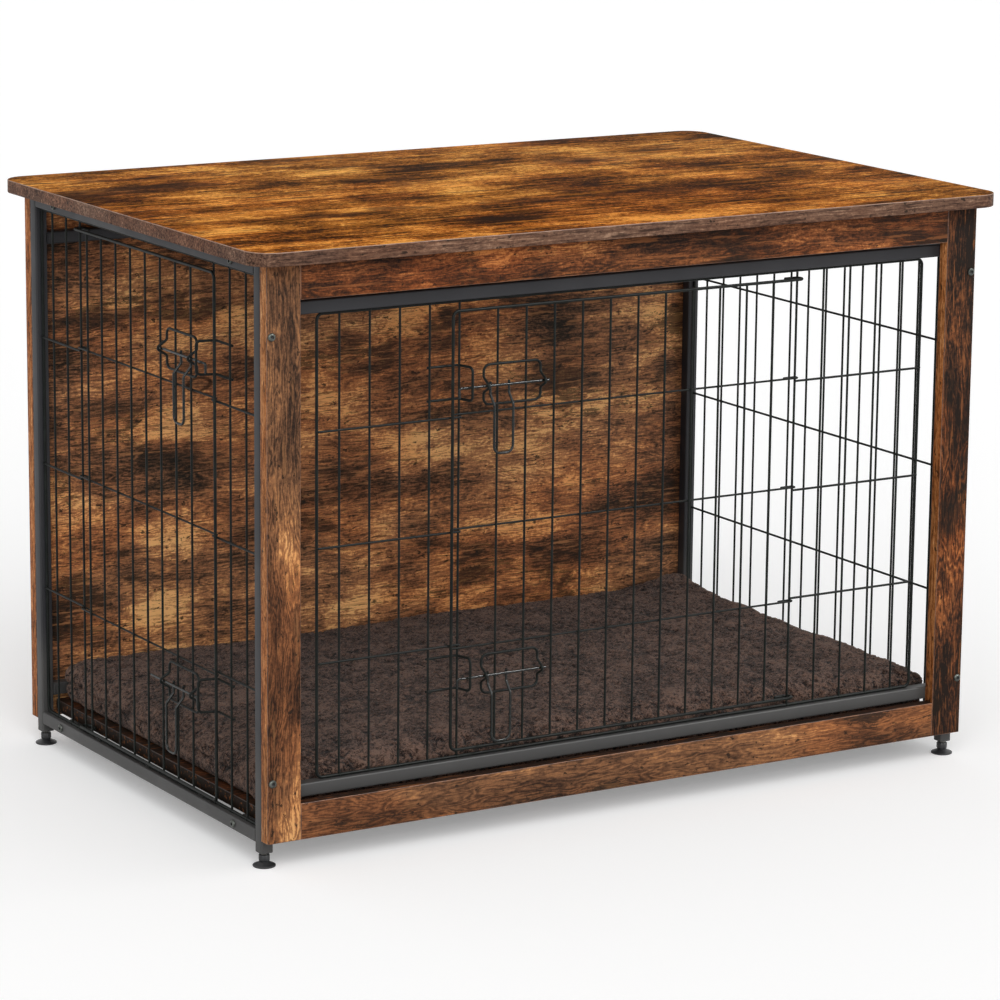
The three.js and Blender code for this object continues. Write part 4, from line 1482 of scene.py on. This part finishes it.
@dataclass
class WireWork:
    """The wire walls, the doors and their latches."""

    parts: Parts
    tab_places: tuple[float, ...] = (-0.130, 0.0, 0.135)
    tab_size: Point = (0.014, 0.006, 0.0025)
    front_bolts: tuple[float, float] = (0.510, 0.183)
    side_bolts: tuple[float, float] = (0.540, 0.161)
    travel: float = 0.024

    def build(self) -> None:
        """Makes the three walls, the two doors and the four latches."""
        self.coat = WireCoat("wire_coat", 0.36, 0.12).material()
        self.latch_coat = WireCoat("latch_coat", 0.17, 0.3).material()
        self.front()
        self.left()
        self.right()

    def frame_wire(self, panel: WirePanel, width: float, bottom: float, top: float) -> None:
        """Adds the closed frame wire of a wall, as two halves that meet in the middle."""
        for side in (-1, 1):
            edge = side * width / 2
            points = [(0, 0, top), (edge, 0, top), (edge, 0, bottom), (0, 0, bottom)]
            panel.path(points, WIRES.frame, WIRES.frame_bend)

    def upright(self, panel: WirePanel, along: float, bottom: float, top: float, rows: Sequence[float],
                radius: float) -> None:
        """Adds an upright of a wall and its welds to the rows and the frame wire.

        Args:
            panel: the wall's wires.
            along: its place.
            bottom: its lower end.
            top: its upper end.
            rows: the heights of the rows it crosses.
            radius: its radius.
        """
        panel.line((along, 0, bottom), (along, 0, top), radius)
        for height in rows:
            panel.weld(along, WIRES.wall_row / 2, height)
        for height in (bottom, top):
            panel.weld(along, WIRES.thin, height)

    def doorway_wall(self, plane: WallPlane, node: str, width: float, plan: DoorPlan,
                     latches: Sequence[Latch]) -> WirePanel:
        """Makes the wires of a wall round a doorway.

        Args:
            plane: the wall's plane.
            node: the node it stands for.
            width: the wall's width.
            plan: the door's sizes.
            latches: the latches whose keepers the wall carries.

        Returns:
            The wall's wires.
        """
        panel = WirePanel(plane)
        bottom, top = plan.wall_bottom, plan.wall_top
        rows = row_heights(bottom, top)
        self.frame_wire(panel, width, bottom, top)
        for side in (-plan.hand, plan.hand):
            hinged = side == plan.hand
            for index, place in enumerate(upright_places(plan.doorway / 2, width)):
                hanging = hinged and index == 0
                radius = WIRES.hinge if hanging else WIRES.coated
                self.upright(panel, side * place, bottom, top, rows, radius)
            inner = side * (plan.doorway / 2 - (WIRES.hinge if hinged else WIRES.row_stub))
            outer = side * width / 2
            for height in rows:
                panel.line((inner, WIRES.wall_row, height), (outer, WIRES.wall_row, height), WIRES.coated)
                panel.weld(outer, WIRES.wall_row / 2, height)
        for latch in latches:
            latch.keeper(panel)
        log.info("%s: %d rows of wire", node, len(rows))
        return panel

    def door(self, plane: WallPlane, plan: DoorPlan, latches: Sequence[Latch]) -> None:
        """Makes a door: its frame wire, rows, uprights and the guides of its bolts.

        Args:
            plane: the plane of the wall it hangs on.
            plan: the door's sizes.
            latches: its latches.
        """
        panel = WirePanel(plane)
        out = WIRES.door_frame
        corners = [plane.at(plan.hinge, out, plan.top), plane.at(plan.edge, out, plan.top),
                   plane.at(plan.edge, out, plan.bottom), plane.at(plan.hinge, out, plan.bottom)]
        upper = [plane.at(*point) for point in plan.hook(out, plan.top)]
        lower = [plane.at(*point) for point in reversed(plan.hook(out, plan.bottom))]
        bent = bend_path(corners, WIRES.frame_bend)
        panel.shape.wire([*upper, *bent[1:-1], *lower], WIRES.frame)
        rows = plan.rows()
        for height in rows:
            panel.path([*plan.hook(WIRES.door_row, height), (plan.edge, WIRES.door_row, height)], WIRES.thin)
            panel.weld(plan.edge, (WIRES.door_row + out) / 2, height)
        first = plan.edge + plan.hand * plan.latch_bay
        last = plan.hinge - plan.hand * plan.hinge_bay
        for i in range(plan.uprights):
            along = first + (last - first) * i / (plan.uprights - 1)
            panel.line((along, WIRES.door_upright, plan.bottom), (along, WIRES.door_upright, plan.top),
                       WIRES.coated)
            for height in rows:
                panel.weld(along, (WIRES.door_row + WIRES.door_upright) / 2, height)
            for height in (plan.bottom, plan.top):
                panel.weld(along, (WIRES.door_upright + out) / 2, height)
        for latch in latches:
            latch.guide(panel)
        self.parts.stand_in(panel.shape.piece(finished(plan.name), (self.coat,)), plan.name)
        for latch in latches:
            latch.bolt(plane, self.parts, self.latch_coat)

    def tabs(self, panel: WirePanel, rail_top: float) -> None:
        """Adds the weld tabs that hold a side wall's lower wire to the rail.

        Args:
            panel: the wall's wires.
            rail_top: the height of the rail's upper side.
        """
        length, width, height = self.tab_size
        for place in self.tab_places:
            rings = []
            for inset, level in ((0.0004, 0.0), (0.0, 0.0005), (0.0002, 0.8), (0.0010, 1.0)):
                rise = level if level < 0.01 else level * height
                outline = rounded_oblong(length / 2 - inset, width / 2 - inset, 0.002 - inset, 4)
                rings.append([panel.plane.at(place + x, y, rail_top + rise) for x, y in outline])
            panel.shape.loft(rings)

    def front(self) -> None:
        """Makes the front wall and its door."""
        low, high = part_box("front_wire_wall")
        tube_low, tube_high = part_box("front_lower_tube")
        plane = WallPlane(Vector(((low.x + high.x) / 2, (tube_low.y + tube_high.y) / 2, 0)),
                          Vector((1, 0, 0)), Vector((0, -1, 0)))
        bottom = tube_high.z + WIRES.frame
        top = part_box("front_upper_tube")[0].z - WIRES.frame
        plan = DoorPlan("front_door", 0.4476, 1, bottom, top, 0.0092, 0.036, 11)
        latches = [Latch("front_upper", plan, self.front_bolts[0]),
                   Latch("front_lower", plan, self.front_bolts[1])]
        panel = self.doorway_wall(plane, "front_wire_wall", 0.8012, plan, latches)
        self.parts.stand_in(panel.shape.piece(finished("front_wire_wall"), (self.coat,)), "front_wire_wall")
        self.door(plane, plan, latches)

    def side_levels(self) -> tuple[float, float, float]:
        """The rail's top and the heights of a side wall's lower and upper frame wires."""
        rail_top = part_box("left_bottom_rail")[1].z
        return rail_top, rail_top + WIRES.frame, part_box("left_top_rail")[0].z - WIRES.frame

    def side_width(self) -> float:
        """The width of a side wall between the middles of its frame wire."""
        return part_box("left_back_post")[0].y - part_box("left_front_post")[1].y - 2 * WIRES.frame

    def left(self) -> None:
        """Makes the left wall and its door."""
        low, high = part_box("left_front_post")
        plane = WallPlane(Vector(((low.x + high.x) / 2, 0, 0)), Vector((0, -1, 0)), Vector((-1, 0, 0)))
        rail_top, bottom, top = self.side_levels()
        plan = DoorPlan("side_door", 0.3356, -1, bottom, top, 0.005, 0.028, 8)
        latches = [Latch("side_upper", plan, self.side_bolts[0]),
                   Latch("side_lower", plan, self.side_bolts[1], self.travel)]
        panel = self.doorway_wall(plane, "left_wire_wall", self.side_width(), plan, latches)
        self.tabs(panel, rail_top)
        self.parts.stand_in(panel.shape.piece(finished("left_wire_wall"), (self.coat,)), "left_wire_wall")
        self.door(plane, plan, latches)

    def right(self) -> None:
        """Makes the plain right wall."""
        low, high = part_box("right_front_post")
        plane = WallPlane(Vector(((low.x + high.x) / 2, 0, 0)), Vector((0, 1, 0)), Vector((1, 0, 0)))
        rail_top, bottom, top = self.side_levels()
        panel = WirePanel(plane)
        width = self.side_width()
        rows = row_heights(bottom, top)
        self.frame_wire(panel, width, bottom, top)
        for place in upright_places(WIRES.pitch / 2, width):
            for along in (-place, place):
                self.upright(panel, along, bottom, top, rows, WIRES.coated)
        for height in rows:
            panel.line((-width / 2, WIRES.wall_row, height), (width / 2, WIRES.wall_row, height),
                       WIRES.coated)
        self.tabs(panel, rail_top)
        self.parts.stand_in(panel.shape.piece(finished("right_wire_wall"), (self.coat,)), "right_wire_wall")


# ------------------------------------------------------------------------------------ screws and feet


@dataclass
class Screws:
    """The button-head screws of the front boards and the crossbars."""

    parts: Parts
    head_height: float = 0.0024
    socket_radius: float = 0.0020
    socket_depth: float = 0.0015
    shank_radius: float = 0.0019
    sides: int = 36

    def build(self) -> None:
        """Makes every screw."""
        # Painted shade: the socket's near-black finish stands in for the shade in the hex recess.
        finishes = (TurnedSteel("screw_steel", (92, 95, 90), (50, 53, 49)).material(),
                    MouldedPlastic("socket_shade", (8, 8, 8), (20, 19, 18)).material())
        for side in ("left", "right"):
            for level in ("lower", "upper"):
                self.screw(f"front_{side}_{level}_screw", Vector((0, -1, 0)), finishes)
            outward = Vector((-1 if side == "left" else 1, 0, 0))
            for end in ("front", "back"):
                for level in ("floor", "roof"):
                    self.screw(f"{side}_{end}_{level}_screw", outward, finishes)

    def screw(self, node: str, outward: Vector, finishes: Sequence[bpy.types.Material]) -> None:
        """Makes one screw with a domed head and a hexagon socket.

        Args:
            node: the node it stands for.
            outward: the way its head points.
            finishes: the finishes of its head and of its socket.
        """
        low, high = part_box(node)
        centre = (low + high) / 2
        axis = 1 if outward.y else 0
        tip = low if outward[axis] < 0 else high
        crown = Vector(centre)
        crown[axis] = tip[axis]
        seat = crown - outward * self.head_height
        span = high - low
        head = max(span.z, span[1 - axis]) / 2
        length = span[axis] - self.head_height
        turn = Vector((0, 0, 1)).rotation_difference(outward)

        def circle(radius: float, height: float) -> list[Vector]:
            """A ring of the screw."""
            angles = [2 * math.pi * k / self.sides for k in range(self.sides)]
            return [seat + turn @ Vector((radius * math.cos(angle), radius * math.sin(angle), height))
                    for angle in angles]

        def hexagon(radius: float, height: float) -> list[Vector]:
            """A six-sided ring with as many points as the round ones.

            Args:
                radius: how far its corners lie from the screw's axis.
                height: how far it lies above the head's seat.

            Returns:
                The ring's points.
            """
            points = []
            for k in range(self.sides):
                angle = 2 * math.pi * k / self.sides
                reach = radius * math.cos(math.pi / 6) / math.cos(angle % (math.pi / 3) - math.pi / 6)
                corner = Vector((reach * math.cos(angle), reach * math.sin(angle), height))
                points.append(seat + turn @ corner)
            return points

        rise = self.head_height
        rings = [circle(self.shank_radius * 0.7, -length), circle(self.shank_radius, -length + 0.0005),
                 circle(self.shank_radius, 0), circle(head - 0.0002, 0), circle(head, rise * 0.12)]
        for share in (0.25, 0.5, 0.72, 0.88, 1.0):
            angle = share * math.pi / 2
            dome = (self.socket_radius * 1.35, head)
            radius = dome[0] + (dome[1] - dome[0]) * math.cos(angle)
            rings.append(circle(radius, rise * (0.12 + 0.88 * math.sin(angle))))
        rings.append(hexagon(self.socket_radius * 1.12, rise))
        socket = [hexagon(self.socket_radius, rise - 0.0002),
                  hexagon(self.socket_radius, rise - self.socket_depth),
                  circle(self.socket_radius * 0.3, rise - self.socket_depth - 0.0004)]
        shape = Shape()
        outside = [shape.ring(ring) for ring in rings]
        inside = [shape.ring(ring) for ring in socket]
        shape.face(outside[0][::-1])
        shape.skin(outside)
        shape.skin([outside[-1], *inside], 1)
        shape.face(inside[-1], 1)
        self.parts.stand_in(shape.piece(finished(node), finishes), node)


@dataclass
class LevellingFeet:
    """The four levelling feet: a moulded flange and hub on a threaded stud."""

    parts: Parts
    flange: float = 0.0128
    hub: float = 0.0063
    hub_height: float = 0.0135
    stud: float = 0.004
    pitch: float = 0.00125
    thread_depth: float = 0.0006
    sides: int = 40
    ribs: int = 8

    def build(self) -> None:
        """Makes every foot."""
        plastic = MouldedPlastic().material()
        thread = TurnedSteel("stud_steel", (168, 166, 160), (110, 108, 104)).material()
        for side in ("left", "right"):
            for end in ("front", "back"):
                self.foot(f"{side}_{end}_foot", plastic, thread)

    def foot(self, node: str, plastic: bpy.types.Material, thread: bpy.types.Material) -> None:
        """Makes one foot.

        Args:
            node: the node it stands for.
            plastic: the finish of its flange and hub.
            thread: the finish of its stud.
        """
        low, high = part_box(node)
        centre = (low + high) / 2
        foot = Vector((centre.x, centre.y, low.z))
        shape = Shape()
        shape.lathe(foot, Vector((0, 0, 1)), self.base_profile(), self.sides)
        shape.loft(self.hub_rings(foot))
        shape.loft(self.stud_rings(foot, high.z - low.z), 1)
        self.parts.stand_in(shape.piece(finished(node), (plastic, thread)), node)

    def base_profile(self) -> list[tuple[float, float]]:
        """The section of the flange, from its underside to the hub."""
        r = self.flange
        return [(r * 0.62, 0.0004), (r * 0.68, 0.0), (r * 0.93, 0.0), (r * 0.985, 0.0004), (r, 0.0011),
                (r * 0.985, 0.0018), (r * 0.93, 0.0023), (r * 0.8, 0.0029), (r * 0.6, 0.0041),
                (r * 0.48, 0.0049), (r * 0.40, 0.0056)]

    def hub_rings(self, foot: Vector) -> list[list[Vector]]:
        """The rings of the ribbed hub.

        Args:
            foot: the middle of the foot's underside.

        Returns:
            The rings from below.
        """
        top = self.hub_height
        levels = [(0.80, 0.0040), (0.84, 0.0060), (0.95, 0.0066), (1.0, 0.0072), (1.0, top - 0.0008),
                  (0.93, top - 0.0002), (0.80, top)]
        rings = []
        for share, height in levels:
            ribbed = share > 0.94
            points = []
            for k in range(self.sides * 2):
                angle = math.pi * k / self.sides
                wave = 0.5 + 0.5 * math.cos(angle * self.ribs)
                reach = self.hub * share * (1 - (0.07 * (1 - wave) if ribbed else 0.0))
                points.append(foot + Vector((reach * math.cos(angle), reach * math.sin(angle), height)))
            rings.append(points)
        return rings

    def stud_rings(self, foot: Vector, top: float) -> list[list[Vector]]:
        """The rings of the threaded stud.

        Args:
            foot: the middle of the foot's underside.
            top: the height of the stud's end.

        Returns:
            The rings from below.
        """
        start = self.hub_height - 0.002
        steps = int((top - start) / self.pitch * 6)
        rings = []
        for level in range(steps + 1):
            height = start + (top - start) * level / steps
            points = []
            for k in range(self.sides):
                angle = 2 * math.pi * k / self.sides
                phase = (height / self.pitch - k / self.sides) % 1.0
                reach = self.stud - self.thread_depth * abs(2 * phase - 1)
                points.append(foot + Vector((reach * math.cos(angle), reach * math.sin(angle), height)))
            rings.append(points)
        return rings


# ------------------------------------------------------------------------------------ cushion


@dataclass
class Cushion:
    """The plush cushion: two panels sewn together round the sides and stuffed."""

    parts: Parts
    corner_radius: float = 0.016
    edge: float = 0.009
    proud: float = 0.005
    pinch: float = 0.003
    voxel: float = 0.005
    pressure: float = 4.0
    frames: int = 20
    most_move: float = 0.008
    lift: float = 0.0006
    seam_depth: float = 0.003
    crown: float = 0.008
    puff: float = 0.011
    puff_reach: float = 0.075
    curl_depth: float = 0.0038
    curls_per_metre: float = 112.0

    def build(self) -> None:
        """Makes the cushion."""
        low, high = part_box("cushion")
        pad = self.blank(low, high)
        self.remesh(pad)
        self.stuff(pad)
        self.refine(pad)
        self.settle(pad, low, high)
        self.curl(pad)
        self.parts.stand_in(pad, "cushion")

    def blank(self, low: Vector, high: Vector) -> bpy.types.Object:
        """Makes the sewn shell before it is stuffed.

        Args:
            low: the lowest corner of the cushion's place.
            high: the highest corner.

        Returns:
            The shell.
        """
        centre = (low + high) / 2
        half = (high - low) / 2 + Vector((self.proud, self.proud, 0))
        shape = Shape()
        rings = []
        steps = 8
        for step in range(2 * steps + 1):
            angle = math.pi * (step / (2 * steps) - 0.5)
            inset = self.edge * (1 - math.cos(angle)) + self.pinch * (1 - abs(math.sin(angle))) ** 3
            height = centre.z + half.z * math.sin(angle)
            outline = rounded_oblong(half.x - inset, half.y - inset, self.corner_radius, 10)
            rings.append([Vector((centre.x + x, centre.y + y, height)) for x, y in outline])
        shape.loft(rings)
        return shape.piece(finished("cushion"), (CurlyPlush().material(),))

    def remesh(self, pad: bpy.types.Object) -> None:
        """Gives the shell an even mesh of small squares.

        Args:
            pad: the cushion.
        """
        modifier = pad.modifiers.new("even", "REMESH")
        modifier.mode = "VOXEL"
        modifier.voxel_size = self.voxel
        self.apply(pad)

    def apply(self, pad: bpy.types.Object) -> None:
        """Turns the modified shape into the mesh itself.

        Args:
            pad: the cushion.
        """
        graph = bpy.context.evaluated_depsgraph_get()
        mesh = bpy.data.meshes.new_from_object(pad.evaluated_get(graph))
        materials = list(pad.data.materials)
        pad.modifiers.clear()
        pad.data = mesh
        if not mesh.materials:
            for material in materials:
                mesh.materials.append(material)

    def stuff(self, pad: bpy.types.Object) -> None:
        """Blows the shell up as cloth, and keeps each point near where it was.

        Args:
            pad: the cushion.
        """
        start = [vert.co.copy() for vert in pad.data.vertices]
        modifier = pad.modifiers.new("stuffing", "CLOTH")
        settings = modifier.settings
        settings.quality = 5
        settings.mass = 0.3
        settings.tension_stiffness = 12
        settings.compression_stiffness = 12
        settings.bending_stiffness = 0.4
        settings.use_pressure = True
        settings.uniform_pressure_force = self.pressure
        settings.effector_weights.gravity = 0
        modifier.collision_settings.use_collision = False
        modifier.point_cache.frame_start = 1
        modifier.point_cache.frame_end = self.frames
        scene = bpy.context.scene
        for number in range(1, self.frames + 1):
            scene.frame_set(number)
        self.apply(pad)
        scene.frame_set(1)
        for vert, place in zip(pad.data.vertices, start):
            move = vert.co - place
            if move.length > self.most_move:
                vert.co = place + move.normalized() * self.most_move

    def refine(self, pad: bpy.types.Object) -> None:
        """Splits every square in four, smoothly.

        Args:
            pad: the cushion.
        """
        modifier = pad.modifiers.new("finer", "SUBSURF")
        modifier.levels = 1
        modifier.render_levels = 1
        self.apply(pad)

    def settle(self, pad: bpy.types.Object, low: Vector, high: Vector) -> None:
        """Lays the cushion on the floor board, keeps it off the walls and sews its seam.

        Args:
            pad: the cushion.
            low: the lowest corner of its place.
            high: the highest corner.
        """
        middle = (low.z + high.z) / 2
        for vert in pad.data.vertices:
            place = vert.co
            x, y = place.x, place.y
            slow = noise.noise(Vector((x * 5.0, y * 6.0, 3.1)))
            if place.z > middle:
                edge = max(abs(x / high.x), abs(y / high.y))
                corner = ((high.x - x) ** 2 + (high.y - y) ** 2) / self.puff_reach**2
                rise = 0.0035 * slow - self.crown * edge**6 + self.puff * math.exp(-corner)
                place.z += rise * (place.z - middle) / (high.z - middle)
            seam = math.exp(-(((place.z - middle) / 0.0035) ** 2))
            side = Vector((x / high.x, y / high.y, 0))
            out = max(abs(side.x), abs(side.y))
            if out > 0.9:
                place -= side.normalized() * self.seam_depth * seam
            place.x = min(max(place.x, low.x - self.proud), high.x + self.proud)
            place.y = min(max(place.y, low.y - self.proud), high.y + self.proud)
            place.z = max(place.z, low.z + self.lift)

    def curl(self, pad: bpy.types.Object) -> None:
        """Raises the pile into curls, and stores each point's pile height, which the finish paints as shade
        in the hollows and light on the tops.

        Args:
            pad: the cushion.
        """
        mesh = pad.data
        floor = min(vert.co.z for vert in mesh.vertices)
        normals = [vert.normal.copy() for vert in mesh.vertices]
        pile = mesh.attributes.new(PILE_SHADE_ATTRIBUTE, "FLOAT", "POINT")
        heights = []
        for vert, normal in zip(mesh.vertices, normals):
            place = vert.co * self.curls_per_metre
            warp = noise.noise_vector(place * 0.55 + Vector((7.0, 0.0, 0.0)))
            ridge = 1 - 2.4 * abs(noise.noise(place + warp * 0.9))
            clump = noise.noise(place * 0.33 + Vector((0.0, 5.0, 0.0)))
            height = max(-1.0, min(1.0, 0.75 * ridge + 0.7 * clump))
            heights.append(0.5 + 0.5 * height)
            resting = normal.z < -0.5 and vert.co.z < floor + 0.004
            if not resting:
                vert.co += normal * self.curl_depth * height
            vert.co.z = max(vert.co.z, floor)
        pile.data.foreach_set("value", heights)
        mesh.polygons.foreach_set("use_smooth", [True] * len(mesh.polygons))
        mesh.update()


# ------------------------------------------------------------------------------------ studio


@dataclass
class Studio:
    """The pale floor, the soft light and the camera."""

    camera_place: Point = (-2.45487, -4.06990, 1.35406)
    yaw: float = math.radians(31.154)
    pitch: float = math.radians(12.445)
    roll: float = math.radians(0.569)
    lens: float = 147.66
    sensor: float = 36.0
    floor_size: float = 60.0
    floor_white: float = 0.84
    floor_glow: float = 0.24
    sky: float = 0.50
    key_strength: float = 2.0
    key_toward: Point = (-0.34, -0.78, 0.56)
    key_spread: float = math.radians(58)
    fill_strength: float = 0.45
    fill_toward: Point = (0.75, -0.55, 0.45)
    fill_spread: float = math.radians(80)
    glint_strength: float = 2.5
    glint_toward: Point = (0.45, -0.60, 0.66)
    glint_spread: float = math.radians(7)

    def build(self) -> None:
        """Sets up the whole studio."""
        self.camera()
        self.floor()
        self.world()
        self.sun("key", self.key_strength, self.key_toward, self.key_spread)
        self.sun("fill", self.fill_strength, self.fill_toward, self.fill_spread)
        glint = self.sun("glint", self.glint_strength, self.glint_toward, self.glint_spread)
        glint.visible_diffuse = False
        scene = bpy.context.scene
        scene.view_settings.view_transform = "Standard"

    def camera(self) -> None:
        """Places the camera."""
        forward = Vector((math.sin(self.yaw) * math.cos(self.pitch),
                          math.cos(self.yaw) * math.cos(self.pitch),
                          -math.sin(self.pitch)))
        level = Vector((math.cos(self.yaw), -math.sin(self.yaw), 0))
        upright = level.cross(forward)
        right = level * math.cos(self.roll) + upright * math.sin(self.roll)
        up = upright * math.cos(self.roll) - level * math.sin(self.roll)
        data = bpy.data.cameras.new("camera")
        data.lens = self.lens
        data.sensor_width = self.sensor
        data.clip_start = 0.1
        data.clip_end = 100.0
        made = bpy.data.objects.new("camera", data)
        turned = Matrix((right, up, -forward)).transposed().to_4x4()
        made.matrix_world = Matrix.Translation(self.camera_place) @ turned
        bpy.context.scene.collection.objects.link(made)
        bpy.context.scene.camera = made

    def floor(self) -> None:
        """Lays the floor: white, with a glow for the camera alone, so that the shadow stays."""
        half = self.floor_size / 2
        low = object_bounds()[0].z
        shape = Shape()
        corners = ((-half, -half), (half, -half), (half, half), (-half, half))
        shape.face(shape.ring(Vector((x, y, low)) for x, y in corners))
        material = bpy.data.materials.new("studio_floor")
        material.use_nodes = True
        tree = material.node_tree
        tree.nodes.clear()
        output = tree.nodes.new("ShaderNodeOutputMaterial")
        diffuse = tree.nodes.new("ShaderNodeBsdfDiffuse")
        diffuse.inputs["Color"].default_value = (self.floor_white,) * 3 + (1.0,)
        glow = tree.nodes.new("ShaderNodeEmission")
        total = tree.nodes.new("ShaderNodeAddShader")
        share = tree.nodes.new("ShaderNodeMath")
        share.operation = "MULTIPLY"
        share.inputs[1].default_value = self.floor_glow
        tree.links.new(self.seen(tree), share.inputs[0])
        tree.links.new(share.outputs[0], glow.inputs["Strength"])
        tree.links.new(diffuse.outputs[0], total.inputs[0])
        tree.links.new(glow.outputs[0], total.inputs[1])
        tree.links.new(total.outputs[0], output.inputs["Surface"])
        made = shape.piece("studio_floor", (material,))
        made.data.polygons[0].use_smooth = False
        made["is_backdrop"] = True

    def seen(self, tree: bpy.types.NodeTree) -> Socket:
        """1 on a ray that shows the background, straight, mirrored or through glass.

        Args:
            tree: the node tree.

        Returns:
            The socket.
        """
        path = tree.nodes.new("ShaderNodeLightPath")
        total = path.outputs["Is Camera Ray"]
        for name in ("Is Glossy Ray", "Is Transmission Ray"):
            either = tree.nodes.new("ShaderNodeMath")
            either.operation = "MAXIMUM"
            tree.links.new(total, either.inputs[0])
            tree.links.new(path.outputs[name], either.inputs[1])
            total = either.outputs[0]
        return total

    def world(self) -> None:
        """Lights everything from a soft dome, and shows white behind the crate."""
        world = bpy.data.worlds.new("studio")
        bpy.context.scene.world = world
        world.use_nodes = True
        tree = world.node_tree
        tree.nodes.clear()
        output = tree.nodes.new("ShaderNodeOutputWorld")
        back = tree.nodes.new("ShaderNodeBackground")
        dome = tree.nodes.new("ShaderNodeBackground")
        dome.inputs["Strength"].default_value = self.sky
        back.inputs["Color"].default_value = (1.0, 1.0, 1.0, 1.0)
        dome.inputs["Color"].default_value = (1.0, 1.0, 1.0, 1.0)
        both = tree.nodes.new("ShaderNodeMixShader")
        tree.links.new(self.seen(tree), both.inputs[0])
        tree.links.new(dome.outputs[0], both.inputs[1])
        tree.links.new(back.outputs[0], both.inputs[2])
        tree.links.new(both.outputs[0], output.inputs["Surface"])

    def sun(self, name: str, strength: float, toward: Point, spread: float) -> bpy.types.Object:
        """Adds a soft lamp that is equally strong everywhere.

        Args:
            name: its name.
            strength: its strength.
            toward: the direction to it.
            spread: how wide it looks.

        Returns:
            The lamp.
        """
        data = bpy.data.lights.new(name, "SUN")
        data.energy = strength
        data.angle = spread
        made = bpy.data.objects.new(name, data)
        made.rotation_mode = "QUATERNION"
        made.rotation_quaternion = Vector(toward).to_track_quat("Z", "Y")
        bpy.context.scene.collection.objects.link(made)
        return made


# ------------------------------------------------------------------------------------ the crate


def main() -> None:
    """Builds the studio and every part of the crate."""
    logging.basicConfig(level=logging.INFO, format="%(message)s")
    parts = Parts(frame["record"])
    Studio().build()
    Boards(parts).build()
    SteelFrame(parts).build()
    WireWork(parts).build()
    Screws(parts).build()
    LevellingFeet(parts).build()
    Cushion(parts).build()


if __name__ == "__main__":
    main()
